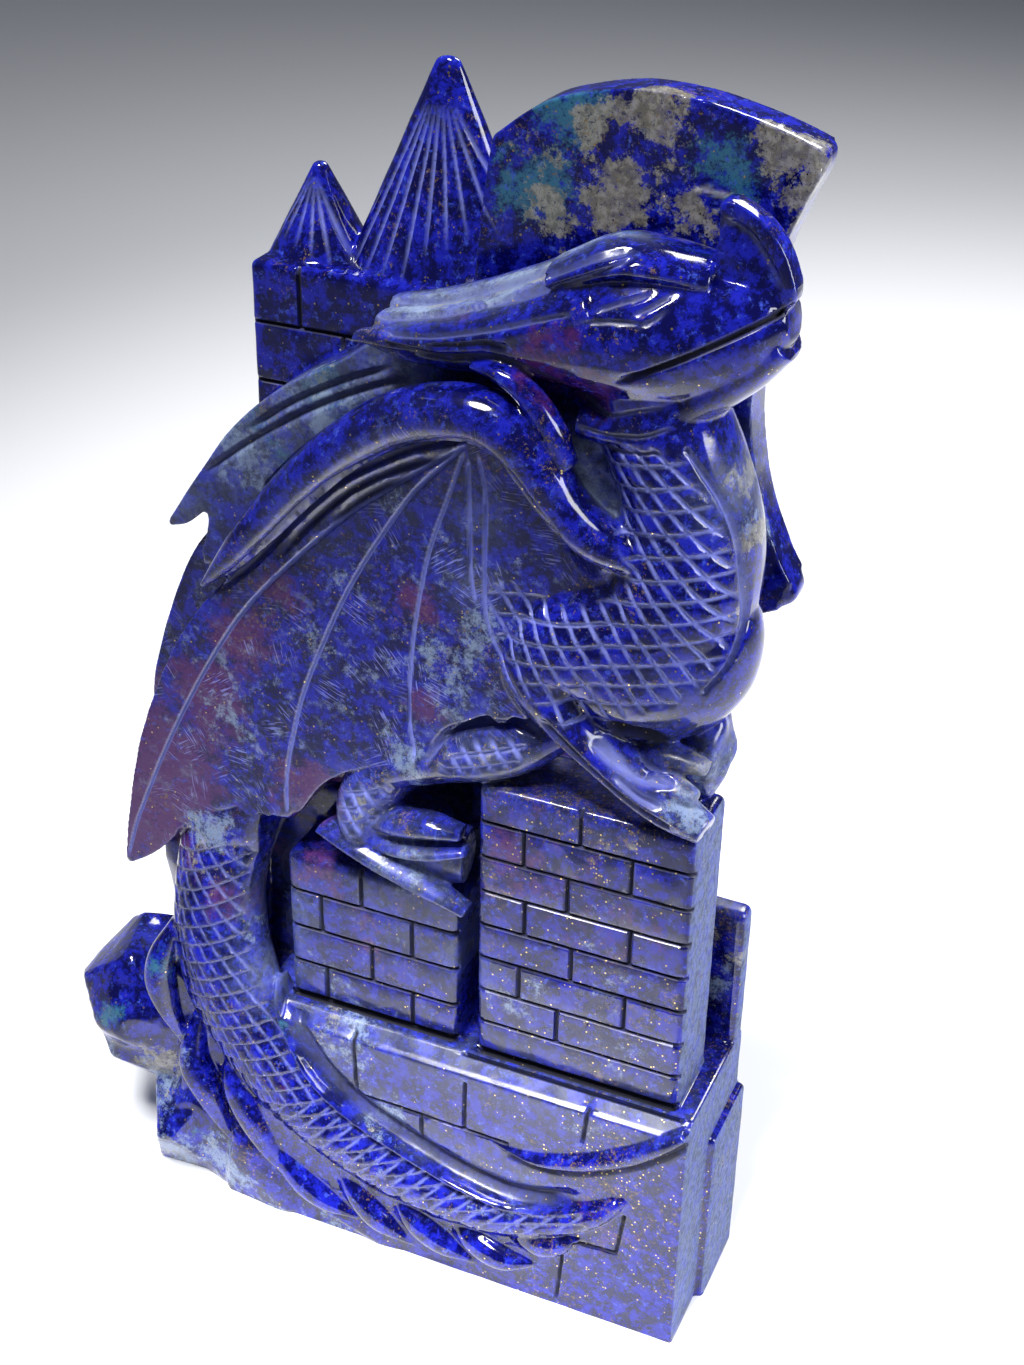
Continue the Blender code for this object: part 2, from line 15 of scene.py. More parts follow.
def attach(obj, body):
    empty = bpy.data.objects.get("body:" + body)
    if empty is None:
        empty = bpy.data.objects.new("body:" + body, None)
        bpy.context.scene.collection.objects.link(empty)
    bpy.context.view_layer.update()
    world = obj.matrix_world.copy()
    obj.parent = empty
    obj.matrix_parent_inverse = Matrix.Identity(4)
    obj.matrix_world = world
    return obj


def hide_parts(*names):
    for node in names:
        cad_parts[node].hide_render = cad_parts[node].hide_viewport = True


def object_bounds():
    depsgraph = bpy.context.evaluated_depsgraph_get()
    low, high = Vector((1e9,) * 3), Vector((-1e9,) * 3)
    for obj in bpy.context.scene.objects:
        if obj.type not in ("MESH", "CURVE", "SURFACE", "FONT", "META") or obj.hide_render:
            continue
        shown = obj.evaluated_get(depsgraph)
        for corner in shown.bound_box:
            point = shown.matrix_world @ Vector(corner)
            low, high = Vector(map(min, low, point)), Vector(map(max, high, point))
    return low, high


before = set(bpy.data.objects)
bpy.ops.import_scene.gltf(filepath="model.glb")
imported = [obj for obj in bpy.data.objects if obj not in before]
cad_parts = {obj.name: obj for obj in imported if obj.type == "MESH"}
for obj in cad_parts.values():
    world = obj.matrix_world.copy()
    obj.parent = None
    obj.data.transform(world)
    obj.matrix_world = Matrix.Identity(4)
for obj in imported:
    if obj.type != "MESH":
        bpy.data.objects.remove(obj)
cad_low, cad_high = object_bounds()

# The masonry
# The castle is cut from the lower and rear part of the block: a plinth wall, a tall and
# a short block in front, a pier and steps at the right, and a keep behind. Its faces are
# sawn flat and polished, and its joints are cut with the edge of a wheel.
GRID_HEIGHT = 205.4
UNIT = cad_high.z / GRID_HEIGHT
GRID_ORIGIN = Vector((0.5 * UNIT, 0.0, 0.0))
PLINTH = {"left": -38.5, "right": 61.5, "front": -23.5, "back": 5.0, "top": 48.5}
TALL = {"left": 22.0, "right": 58.0, "front": -19.0, "back": -4.5, "top": 102.0}
SHORT = {"left": -13.4, "right": 18.4, "front": -18.5, "top": 78.6}
KEEP = {"left": -26.7, "right": 26.3, "front": 2.0, "top": 172.5}
CURTAIN = {"right": 45.5, "front": -7.0, "top": 85.0}
STEP = {"left": 49.0, "right": 63.0, "front": -11.5, "top": 37.0}
PIER = {"left": 49.5, "front": 0.5, "top": 75.5}
RECESS_FRONT = -5.0
REAR = 22.0
SUNK = 4.0
ARRIS = 0.9
SMALL_COURSE = 6.69
LARGE_COURSE = 9.5
# Joints are dark in themselves, and their dark is deepened with painted shade.
JOINT = {"width": 0.25, "depth": 0.9, "pale": 0.1, "dark": 1.0}
WALL_START = -19.0
ROUGH_FRONT = -19.0
LEDGE_FOOT = 46.4
LEDGE_SLOPE = 3.0

block = bmesh.new()
grooves = []
tints = []


def placed(point):
    """A grid position in metres."""
    return Vector(point) * UNIT + GRID_ORIGIN


def add_box(low, high, arris=ARRIS, set_back=0.0):
    """A block between two corners, with its edges eased and its top front edge set back."""
    made = bmesh.ops.create_cube(block, size=1.0)["verts"]
    for vert in made:
        corner = [low[k] if vert.co[k] < 0 else high[k] for k in range(3)]
        if vert.co.y < 0 < vert.co.z:
            corner[1] += set_back
        vert.co = placed(corner)
    edges = list({edge for vert in made for edge in vert.link_edges})
    bmesh.ops.bevel(block, geom=edges, offset=arris * UNIT, segments=3, profile=0.5, affect="EDGES")


def groove(run, width, depth, near=-40.0, far=40.0, pale=1.0, dark=0.0, lean=0.0, taper=0.0, side=-1):
    """Notes a line for the wheel to cut later: x, z points, half width, depth and the y it reaches."""
    grooves.append({
        "run": np.asarray(run, float), "width": width, "depth": depth, "near": near, "far": far,
        "pale": pale, "dark": dark, "lean": lean, "taper": taper, "side": side,
    })


def tint(kind, spots, y=None):
    """Notes where the stone changes colour, some of it painted reflection: x, z, reach and strength of soft
    spots, and y if they are shallow.
    """
    tints.extend((kind, *spot, y) for spot in spots)


def lay_courses(left, right, bottom, top, course, uprights, face, side=-1):
    """Level joints of a wall with upright joints at given shares of its width, course by course."""
    near, far = face - 3.0, face + 3.0
    count = max(1, round((top - bottom) / course))
    height = (top - bottom) / count
    for row in range(count):
        level = top - row * height
        if row:
            groove(((left - 1, level), (right + 1, level)), near=near, far=far, side=side, **JOINT)
        for share in uprights[row % len(uprights)]:
            x = left + share * (right - left)
            ends = ((x, level - 0.3), (x, level - height + 0.3))
            groove(ends, near=near, far=far, side=side, **JOINT)


add_box((PLINTH["left"], ROUGH_FRONT, -SUNK), (WALL_START + SUNK, PLINTH["back"], PLINTH["top"] - 2))
add_box((WALL_START, PLINTH["front"], -SUNK), (PLINTH["right"], PLINTH["back"], LEDGE_FOOT), 0.4)
add_box(
    (WALL_START, PLINTH["front"], LEDGE_FOOT - 0.5), (PLINTH["right"], PLINTH["back"], PLINTH["top"]),
    0.4, set_back=LEDGE_SLOPE,
)
add_box((PLINTH["left"], PLINTH["back"] - SUNK, -SUNK), (CURTAIN["right"], REAR, PLINTH["top"]))
add_box((TALL["left"], TALL["front"], PLINTH["top"] - SUNK), (TALL["right"], TALL["back"], TALL["top"]), 1.3)
add_box(
    (SHORT["left"], SHORT["front"], PLINTH["top"] - SUNK),
    (SHORT["right"], KEEP["front"] + SUNK, SHORT["top"]),
    1.4,
)
add_box(
    (SHORT["right"] - SUNK, RECESS_FRONT, PLINTH["top"] - SUNK),
    (TALL["left"] + SUNK, KEEP["front"] + SUNK, TALL["top"] - SUNK),
)
add_box((STEP["left"], STEP["front"], -SUNK), (STEP["right"], PLINTH["back"], STEP["top"]))
add_box((PIER["left"], PIER["front"], -SUNK), (PLINTH["right"], PLINTH["back"], PIER["top"]), 1.4)
add_box((KEEP["left"], CURTAIN["front"], PLINTH["top"] - SUNK), (CURTAIN["right"], REAR, CURTAIN["top"]))
add_box((KEEP["left"], KEEP["front"], PLINTH["top"] - SUNK), (KEEP["right"], REAR, KEEP["top"]))

TALL_UPRIGHTS = ((0.48,), (0.22, 0.72), (0.43,), (0.23, 0.73), (0.46,), (0.21, 0.72), (0.40,), ())
SHORT_UPRIGHTS = ((0.44,), (0.20, 0.735), (0.495,), (0.22, 0.735))
KEEP_UPRIGHTS = ((0.16,), (0.30, 0.62), (0.14, 0.46, 0.8))
REAR_UPRIGHTS = ((0.25, 0.5, 0.75), (0.12, 0.38, 0.63, 0.88))
lay_courses(
    TALL["left"], TALL["right"], PLINTH["top"], TALL["top"],
    SMALL_COURSE, TALL_UPRIGHTS, TALL["front"],
)
lay_courses(
    SHORT["left"], SHORT["right"], PLINTH["top"], SHORT["top"],
    SMALL_COURSE, SHORT_UPRIGHTS, SHORT["front"],
)
lay_courses(
    KEEP["left"], KEEP["right"], CURTAIN["top"], KEEP["top"],
    LARGE_COURSE, KEEP_UPRIGHTS, KEEP["front"],
)
lay_courses(KEEP["left"], KEEP["right"], CURTAIN["top"], KEEP["top"], LARGE_COURSE, REAR_UPRIGHTS, REAR, side=1)
lay_courses(
    KEEP["left"], CURTAIN["right"], PLINTH["top"], CURTAIN["top"],
    LARGE_COURSE, REAR_UPRIGHTS, REAR, side=1,
)

PLINTH_COURSES = (((-2, 34.6), (30, 34)), ((43.2, 16.6), (50.5, 17), (51.6, 26)))
PLINTH_UPRIGHTS = (
    ((1, 47), (1.3, 36)), ((22.1, 44.5), (22, 34.5)), ((44.2, 46.5), (43.6, 40)),
    ((13.8, 34.5), (14, 28)), ((40.8, 13.5), (40, 2)),
)
for run in PLINTH_COURSES + PLINTH_UPRIGHTS:
    groove(run, near=PLINTH["front"] - 3, far=PLINTH["front"] + 2, **JOINT)
# The grooves at the feet of the blocks are darkened with painted shade and have no pale lip.
for wall in (TALL, SHORT):
    foot = ((wall["left"] - 1, PLINTH["top"] + 0.2), (wall["right"] + 1, PLINTH["top"] + 0.2))
    groove(foot, 0.5, 1.6, near=wall["front"] - 2, far=wall["front"] + 2, pale=0.0, dark=1.0)
tint("gold", ((40, 98, 16, 1.0), (52, 24, 14, 0.9), (40, 66, 20, 0.35), (55, 60, 12, 0.5)))
tint("calcite", (
    (30, 64, 12, 0.5), (46, 72, 10, 0.45), (-4, 46, 8, 0.8), (7, 31, 7, 0.7), (46, 98, 10, 0.55),
    (50, 57, 12, 0.5), (6, 60, 12, 0.5), (54, 30, 12, 0.5), (24, 40, 8, 0.5),
))
tint("calcite", ((57, 66, 9, 1.0),), y=2)
tint("milky", (
    (0, 45, 9, 0.8), (8, 31, 8, 0.8), (30, 60, 14, 0.55), (45, 74, 14, 0.5), (-5, 54, 8, 0.7),
    (8, 66, 10, 0.5), (50, 56, 10, 0.55), (45, 40, 10, 0.45),
))
tint("milky", ((56, 37, 7, 1.0),), y=-4)
tint("milky", ((57, 60, 9, 0.8),), y=2)
# Violet patches: partly the stone's own violet, partly painted reflection on the top of the tall block.
tint("violet", (
    (30, 92, 14, 0.8), (0, 66, 14, 0.6), (45, 84, 14, 0.7), (50, 22, 14, 0.5), (-8, 75, 8, 0.8),
))
tint("frost", ((56, 37, 8, 1.2),), y=-4)
tint("frost", ((56, 76, 5, 0.7),), y=3)
tint("frost", [(x, PLINTH["top"], 6, 0.5) for x in range(-8, 62, 7)], y=-21.5)

# Tower roofs
# Two cones stand on the keep. They are turned smooth and their fluting is scored from the
# tip towards the eaves, on the side that is seen.
GREAT_ROOF = {"x": 2.5, "radius": 17.3, "height": 34.0, "tip": 3.2}
SMALL_ROOF = {"x": -19.2, "radius": 9.2, "height": 15.8, "tip": 1.8}
ROOF_SEAT = 2.0
ROOF_CENTRE = (KEEP["front"] + REAR) / 2
ROOF_DEEP = (REAR - KEEP["front"]) / 2 - 0.5


def add_rings(rings):
    """Closes a run of equal rings into one solid, with a point at each end."""
    count = len(rings[0])
    loops = [[block.verts.new(point) for point in ring] for ring in rings]
    for near, far in zip(loops, loops[1:]):
        for i in range(count):
            j = (i + 1) % count
            block.faces.new((near[i], near[j], far[j], far[i]))
    for loop, turn in ((loops[0], True), (loops[-1], False)):
        middle = block.verts.new(sum((v.co for v in loop), Vector()) / count)
        for i in range(count):
            j = (i + 1) % count
            block.faces.new((middle, loop[j], loop[i]) if turn else (middle, loop[i], loop[j]))


def add_roof(x, radius, height, tip, points=72, levels=22):
    """A cone with a round tip, no deeper front to back than the keep below it."""
    base = KEEP["top"] - ROOF_SEAT
    deep = min(radius, ROOF_DEEP) / radius
    rings = []
    for level in range(levels + 1):
        share = 1 - (1 - level / levels) ** 2
        below = (1 - share) * height
        cap = math.sqrt(max(tip ** 2 - max(tip - below, 0) ** 2, 0.01))
        reach = min(tip / 2 + (radius - tip / 2) * (1 - share), cap if below < tip else radius)
        turns = [2 * math.pi * k / points for k in range(points)]
        rings.append([
            placed((x + reach * math.cos(a), ROOF_CENTRE + reach * deep * math.sin(a), base + height * share))
            for a in turns
        ])
    add_rings(rings)


def score_flutes(head, spread, feet):
    """Fine lines from just under a tip down to feet on the face of its cone."""
    middle = (len(feet) - 1) / 2
    for i, foot in enumerate(feet):
        start = (head[0] + (i - middle) * spread, head[1])
        groove((start, foot), 0.21, 0.45, near=1.0, far=13.0, pale=0.65, taper=7.0)


for roof in (GREAT_ROOF, SMALL_ROOF):
    add_roof(**roof)
score_flutes((2.2, 197.6), 0.62, (
    (-11.3, 172.6), (-8.2, 172.8), (-4.9, 172.9), (-1.2, 173.0), (2.3, 176.8), (5.6, 178.2), (8.5, 179.9),
    (11.6, 181.6), (14.6, 182.2),
))
score_flutes((-19.4, 184.0), 0.3, (
    (-25.4, 174.5), (-22.9, 175.4), (-20.2, 174.8), (-17.3, 173.4), (-14.5, 172.8), (-12.0, 172.8),
))
tint("calcite", ((-18, 178, 6, 0.5), (-2, 191, 5, 0.35)))

# The wild rock
# The left foot of the block is left as rough rock that the tail runs over. It is broken
# out with a point, rounded by the wheel and polished with the rest.
ROCK_LUMPS = (
    ((-49, -6, 26), (15.5, 15, 16), 0.24, 2.4, 1.0, 15),
    ((-38, -12, 6), (9.5, 13, 15), 0.24, 2.6, 2.0, 13),
    ((-38, 5, 20), (15, 16, 30), 0.10, 3.0, 3.0, 12),
    ((-34.5, 2, 56), (13, 16, 28), 0.10, 3.0, 4.0, 12),
    ((-26, -17, 8), (19, 5.5, 14), 0.2, 3.0, 5.0, 14),
    ((-32, -15, 30), (9, 6.5, 12), 0.10, 2.6, 8.0, 12),
    ((2, -19.5, 3), (20, 4.5, 6), 0.12, 3.0, 6.0, 10),
    ((-19, -19.5, 6), (10, 5.2, 14), 0.12, 2.6, 9.0, 10),
)
GOLDEN_TURN = 2.39996
STRIKE_REACH, STRIKE_DEPTH, STRIKE_SPREAD = 0.2, 0.88, 0.10
DENT_SCALE = 1.7


def add_lump(centre, radii, roughness=0.0, square=2.0, seed=0.0, facets=0):
    """A rounded lump; square above 2 makes it blockier, seed chooses its dents and facets are struck off it."""
    strikes = []
    for k in range(facets):
        turn, rise = seed + k * GOLDEN_TURN, 1 - 2 * (k + 0.5) / facets
        flat = math.sqrt(1 - rise * rise)
        strikes.append(Vector((flat * math.cos(turn), flat * math.sin(turn), rise)))
    for vert in bmesh.ops.create_icosphere(block, subdivisions=5, radius=1.0)["verts"]:
        way = vert.co.copy()
        size = sum(abs(c) ** square for c in way) ** (-1.0 / square)
        size *= 1.0 + roughness * noise.noise(way * DENT_SCALE + Vector((seed, seed, seed)))
        for k, strike in enumerate(strikes):
            if strike.dot(way) > STRIKE_REACH:
                size = min(size, (STRIKE_DEPTH + STRIKE_SPREAD * math.sin(1.7 * k + seed)) / strike.dot(way))
        vert.co = placed([centre[k] + way[k] * size * radii[k] for k in range(3)])


for lump in ROCK_LUMPS:
    add_lump(*lump)

# The wings
# The near wing is a curved membrane under a rolled arm, the far wing a plain slab behind
# the head. Both are roughed out flat, and the fingers are scored into them.
NEAR_WING = (
    (-45.5, 66.5), (-43.5, 79), (-39, 97), (-30.5, 116), (-20, 130), (-5, 147), (6, 158), (18, 163),
    (27, 159), (34, 151), (42, 147), (42, 141), (33, 137), (28, 126), (33, 117), (25, 116), (17.5, 111),
    (12.5, 103.5),
    (4, 101), (-5, 95), (-12, 85.5), (-20, 86), (-29, 82), (-38, 72),
)
WING_BACKING = (
    (-44, 84), (-44.5, 96), (-41.5, 108), (-36, 122), (-30, 131), (-18, 143), (0, 156), (22, 158),
    (28, 130), (24, 112), (4, 98), (-10, 86), (-26, 84),
)
FEATHER_PLATE = (
    (-38, 130), (-32, 139), (-24, 150), (-15, 158), (-5, 164), (4, 169.5), (16, 169), (24, 160),
    (10, 145), (-18, 132), (-31, 124), (-30, 131), (-29.5, 135), (-33.5, 131.5),
)
FAR_WING = (
    (13, 196), (21, 201.8), (30, 204.6), (38, 205.4), (48, 204.2), (59.5, 201), (62, 198.8), (59.5, 192.5),
    (56, 182), (54.5, 166), (55, 157), (57, 148), (60.5, 139.5), (63.5, 133), (57, 129), (46, 122),
    (30, 116), (14, 120), (10, 160),
)
WING_ARM = (
    (-25, -19.5, 127, 0.5, 1.2), (-18.5, -20, 134.3, 2.4, 3), (-12.5, -20, 141.4, 3.2, 3.6),
    (-5, -20, 150, 3.6, 4), (3, -20, 157.3, 3.8, 4.2), (11, -20, 162.2, 4, 4.4), (20, -20, 164.3, 4.2, 4.6),
    (27, -20, 162.8, 4.4, 4.8), (31.5, -19.5, 157.8, 4.1, 4.8), (35, -19, 152.6, 3.6, 4.5),
    (40, -18, 148.2, 3.3, 4.5),
    (46, -16, 146, 3, 4.5),
)
THUMB = (
    (20.5, -19, 171, 0.4, 0.8), (25, -19.8, 171, 1.3, 1.8), (29.5, -20.2, 168.8, 1.8, 2.2),
    (33, -20.2, 164.6, 2, 2.4), (35.5, -19.6, 159, 1.6, 2),
)
WING_FINGERS = (
    (
        (20, 159), (13, 154), (6.6, 149), (0.5, 144), (-9.3, 134), (-18.2, 123.5), (-26, 111), (-34, 95.5),
        (-41.3, 78.7), (-44.6, 69),
    ),
    (
        (19, 158), (13, 151.7), (9.5, 147), (2.8, 136), (-2.3, 125.7), (-7.6, 112.5), (-10, 103.8),
        (-11.8, 95),
        (-12.2, 87),
    ),
    ((19.6, 158), (17.5, 151.4), (13.7, 139.6), (11.2, 124.6), (10.5, 112), (11.5, 104)),
    ((20.3, 157), (20.6, 147), (20.8, 139), (21.6, 134)),
)
ARMPIT_RIDGE = ((21.8, 158), (23, 151.6), (23, 142), (23.2, 133), (25.4, 127), (30, 121))
ARM_UNDERCUT = (
    (25, 160.5), (21, 160.5), (16, 158.6), (10.5, 156.2), (5.5, 153.2), (0, 149.5), (-5, 144.6),
    (-10.5, 138.5),
    (-16, 132.3), (-21.5, 127),
)
ARM_INNER_EDGE = ((25, 160.5), (28.4, 158.4), (31.3, 155), (34, 151), (37.2, 146.8), (41, 143.2))
WING_FOLDS = (
    ((17, 156.8), (10, 153.6), (2, 148.6), (-5, 142), (-11, 135)),
    ((12, 153), (4, 147.8), (-3, 141.5)),
)
FEATHER_LINES = (
    ((-30, 141), (-22.7, 147), (-14.8, 152.6), (-8, 156.8), (0, 160.8), (8, 164)),
    ((-21.3, 150.2), (-13.3, 156.1), (-4.4, 161.1), (3.3, 164.5)),
    ((-19, 140.5), (-13, 147), (-7, 152.5), (0, 158)),
)


def smooth_run(rows, steps=6):
    """A smooth curve through rows of numbers, with steps points to each stretch."""
    rows = np.asarray(rows, float)
    ends = np.vstack([2 * rows[0] - rows[1], rows, 2 * rows[-1] - rows[-2]])
    out = []
    for i in range(1, len(ends) - 2):
        before, start, end, after = ends[i - 1:i + 3]
        for t in np.arange(steps) / steps:
            straight = 2 * start + (end - before) * t
            bend = (2 * before - 5 * start + 4 * end - after) * t ** 2
            sway = (3 * start - before - 3 * end + after) * t ** 3
            out.append(0.5 * (straight + bend + sway))
    out.append(rows[-1])
    return np.array(out)


def engrave(curve, *cut, **reach):
    """Notes a curved line for the wheel."""
    groove(smooth_run(curve), *cut, **reach)


def add_plate(outline, front, back, edge_round, steps=6):
    """A slab whose outline is a smooth closed curve of x, z grid points."""
    flat = smooth_run(list(outline) + [outline[0]], steps)[:-1]
    area = sum(a[0] * b[1] - b[0] * a[1] for a, b in zip(flat, np.roll(flat, -1, axis=0)))
    if area < 0:
        flat = flat[::-1]
    face = block.faces.new([block.verts.new(placed((x, front, z))) for x, z in flat])
    rear = block.faces.new([block.verts.new(placed((x, back, z))) for x, z in flat[::-1]])
    front_loop = list(face.verts)
    rear_loop = list(rear.verts)[::-1]
    for i in range(len(flat)):
        j = (i + 1) % len(flat)
        block.faces.new((front_loop[j], front_loop[i], rear_loop[i], rear_loop[j]))
    rims = list(face.edges) + list(rear.edges)
    bmesh.ops.bevel(block, geom=rims, offset=edge_round * UNIT, segments=4, profile=0.5, affect="EDGES")


def add_limb(stations, sides=28, steps=9):
    """A limb of oval section; a station is x, y, z, half width and half depth."""
    run = smooth_run(stations, steps)
    heading = np.gradient(run[:, :3], axis=0)
    rings = []
    for centre, (wide, deep), way in zip(run[:, :3], np.maximum(run[:, 3:5], 0.3), heading):
        way = way / np.linalg.norm(way)
        across = np.cross(way, (0.0, 1.0, 0.0))
        across = across / max(np.linalg.norm(across), 1e-6)
        through = np.cross(across, way)
        turns = [2 * math.pi * k / sides for k in range(sides)]
        rings.append([
            placed(centre + across * wide * math.cos(a) + through * deep * math.sin(a)) for a in turns
        ])
    add_rings(rings)


add_plate(NEAR_WING, -19.5, -3, 1.6)
add_plate(WING_BACKING, -8, 3.5, 2.0)
add_plate(FEATHER_PLATE, -10, 3.5, 1.4)
add_plate(FAR_WING, 3, 10, 1.8)
for limb in (WING_ARM, THUMB):
    add_limb(limb)
for run in WING_FINGERS + (ARMPIT_RIDGE,):
    engrave(run, 0.25, 0.6, -22.5, -15, pale=0.9, taper=1.5)
# The cuts under the arm and the folds below it are darkened with painted shade.
for run in (ARM_UNDERCUT, ARM_INNER_EDGE):
    engrave(run, 0.4, 1.3, -25.5, -14, pale=0.3, dark=0.5, lean=0.8, taper=3)
for run in WING_FOLDS:
    engrave(run, 0.4, 0.9, -22.5, -15, pale=0.2, dark=0.7, lean=0.8, taper=6)
for run in FEATHER_LINES:
    engrave(run, 0.35, 0.8, -12, -7, pale=0.4, dark=0.6, lean=0.5, taper=4)
tint("scored", (
    (-22, 105, 22, 0.9), (5, 120, 20, 1.0), (20, 140, 16, 1.0), (-35, 85, 12, 0.5), (15, 155, 10, 0.8),
))
tint("frost", (
    (8, 152, 7, 0.3), (-4, 144, 7, 0.3), (16, 157, 7, 0.3), (21.5, 149, 5, 0.5), (21.5, 137, 5, 0.5),
))
# Violet patches on the wing: partly the stone's own violet, partly painted reflection along its lower left
# edge.
tint("violet", (
    (-36, 90, 14, 1.5), (-41, 78, 12, 1.5), (-19, 119, 8, 1.3), (-11, 129, 6, 1.1), (12.6, 132.6, 5, 1.2),
    (13.5, 114.5, 5, 1.2), (-8, 92, 9, 1.2), (-26, 105, 10, 1.3), (20, 160, 7, 0.6),
))
tint("milky", (
    (18, 121, 9, 1.0), (8.5, 149.4, 5, 0.8), (-6.5, 121, 8, 0.7), (-22, 103, 9, 0.7), (10, 104, 7, 0.9),
    (22, 130, 5, 1.0), (-30, 95, 6, 0.5), (0, 133, 6, 0.55), (16, 142, 5, 0.7), (-12, 110, 7, 0.5),
))
tint("calcite", (
    (17, 121, 8, 0.7), (-18, 100, 10, 0.4), (14, 150, 6, 0.5), (-30, 84, 8, 0.4), (12, 160, 5, 0.6),
    (20, 108, 5, 0.8),
))
tint("frost", ((-24, 147, 9, 1.0), (-12, 155, 10, 1.0), (2, 163, 9, 1.0), (-34, 135, 7, 0.8)), y=-9)
tint("milky", ((-22, 148, 10, 1.0), (-8, 157, 10, 1.0), (6, 165, 8, 0.9)), y=-9)
tint("teal", ((-22, 148, 12, 1.0), (-8, 158, 11, 1.0), (8, 166, 8, 1.0)), y=-9)
tint("calcite", ((-8, 160, 8, 0.7), (6, 167, 6, 0.9)), y=-9)
tint("calcite", (
    (38, 203, 8, 1.4), (58, 201, 9, 1.4), (35, 191, 11, 1.3), (29, 200, 6, 1.1), (60, 194, 8, 1.3),
    (42, 190, 9, 1.2), (20, 195, 7, 1.0), (22, 186, 8, 1.1), (57, 180, 9, 0.9), (60, 168, 8, 0.9),
    (56, 150, 8, 0.8), (62, 140, 6, 0.6),
), y=3)
tint("teal", (
    (25, 202, 9, 1.3), (20, 190, 10, 1.3), (48, 196, 9, 1.2), (56, 170, 8, 0.8), (60, 150, 8, 0.7),
), y=3)
tint("milky", ((40, 197, 9, 0.6), (58, 165, 8, 0.6), (60, 146, 6, 0.8)), y=3)

# Body and legs
# The breast swells over the tall block, and both legs come down to grip the masonry. The
# limbs are left proud of the wall, and stone between the toes is ground away.
NECK = (
    (44, -10, 172, 9, 9), (46, -10, 164, 9.5, 10), (49, -9.5, 156, 9.6, 11), (50.5, -9, 148, 10.5, 12),
    (49.5, -9, 140, 12, 13), (46, -9, 132, 14, 13),
)
NECK_WEB = ((27, 172), (46, 172), (50, 150), (44, 134), (30, 134), (26, 150))
SHOULDER = (
    (46, -10, 138, 6, 8), (38, -13, 131, 11, 10), (32, -14, 124, 8.5, 8.5), (36, -15, 117, 4.5, 7),
    (44, -16.5, 111, 3.4, 5.5), (52, -17.5, 106.5, 3.2, 4.6), (59, -18.5, 104, 2.2, 3),
)
TOES = (
    ((44, -12, 110.5, 2, 3), (50, -14, 112.5, 2.3, 3), (57.5, -15, 112.5, 1.2, 1.6)),
    ((46, -15, 107, 2, 3), (51, -17, 109.5, 2.3, 3), (57, -18, 108.8, 1.2, 1.6)),
)
HIND_THIGH = ((33, -12, 112, 4, 5), (25, -14.5, 108.5, 5.8, 6), (14, -14.5, 104, 5.4, 6), (5, -14, 99, 4, 6))
HIND_SHIN = ((10, -12, 101, 4, 5), (4, -14.5, 97, 5.2, 6), (0.5, -15.5, 90.5, 4.6, 6), (2, -16, 83, 3.5, 5))
HIND_TOES = (
    ((3, -16, 89.5, 2, 3.5), (9, -18.5, 91, 2, 3.4), (14, -19.3, 92.3, 2.1, 3), (19.5, -19, 92.2, 1.2, 2)),
    (
        (3, -16.5, 85.8, 1.8, 3.5), (9, -19, 86.8, 1.4, 3.2), (15, -19.8, 88, 1.3, 2.8),
        (20.5, -19.5, 89.4, 0.9, 1.8),
    ),
    ((-6, -17.5, 85.8, 1.2, 3), (3, -19.3, 84, 1.8, 3.2), (12, -20.2, 81.8, 1.8, 3), (21, -20.4, 78.4, 1, 2)),
)
HIND_PAD = ((-1, -15, 88, 4, 4), (7, -16, 86.6, 6, 4), (14, -16, 85.8, 6, 4), (19, -15.5, 85.5, 5, 4))
BODY_LUMPS = (
    ((43.5, -9, 130.5), (19, 13, 18.5)),
    ((6, -12, 86), (9, 7, 6)),
    ((54.5, -7, 111), (4, 5.5, 8), 0.2, 2.4, 7.0),
)
BELLY_LINE = (
    (52, 164), (54.1, 161), (56.7, 156.8), (58.9, 151.5), (60, 146), (60.6, 140), (60.4, 135), (59.5, 131),
    (57, 127),
)
THIGH_EDGE = ((13, 104), (17, 110.4), (21, 112.5), (27, 114.5), (31.5, 113))
PAW_EDGE = ((33.2, 118.4), (37, 115.2), (41, 112), (45.5, 109), (50, 106.7), (55, 104.6))
PAW_GAPS = (
    ((41, 116), (46, 112.8), (50, 111.2), (54, 111)),
    ((45, 112), (49, 109.2), (53, 108)),
)
SCALED_BREAST = (
    (36.5, 160.5), (43.7, 164), (51, 163.8), (53.8, 160.2), (56.8, 155), (58.9, 149.6), (60.2, 143),
    (60.2, 137),
    (58.8, 131), (55, 126), (50, 122.8), (44, 119.6), (38, 117.4), (34, 119.5), (30, 123), (26.4, 127),
    (24, 131.5), (23, 136.5), (26.5, 139.4), (30.5, 138.2), (35.5, 138), (40.5, 139.4), (44.2, 142.5),
    (44.8, 146), (43, 149.5), (40.2, 152.5), (38, 156),
)
THIGH_SCALES = ((15, 104), (19, 109.5), (25, 112), (30, 112), (29, 107.5), (23, 104.5), (18, 103))
SHIN_SCALES = ((-1, 96), (4, 98.5), (7.5, 96), (5, 91), (2, 87.5), (-1, 87), (-2.5, 91))
scales = []


def scale(outline, rows, strokes, depth=0.6, lift=0.35, width=0.25, pale=0.75, far=0.0):
    """Notes a patch of scales: its outline, and where its rows and cross strokes run."""
    scales.append({
        "outline": outline, "rows": rows, "strokes": strokes, "depth": depth, "lift": lift,
        "width": width, "pale": pale, "far": far,
    })


def breast_rows(x, z):
    """Row number across the breast, sagging towards the belly."""
    return (z - 0.2 * (x - 40) + 0.012 * np.maximum(x - 52, 0) ** 2) / 3.4


def breast_strokes(x, z):
    """Stroke number down the breast, leaning more the higher it is."""
    return (x + 0.5 * (z - 122) + 0.0088 * (z - 122) ** 2) / 3.5


def leg_rows(x, z):
    """Row number on thigh and shin."""
    return (z - 0.35 * x) / 2.8


def leg_strokes(x, z):
    """Stroke number on thigh and shin."""
    return (x + 0.7 * z) / 3.2


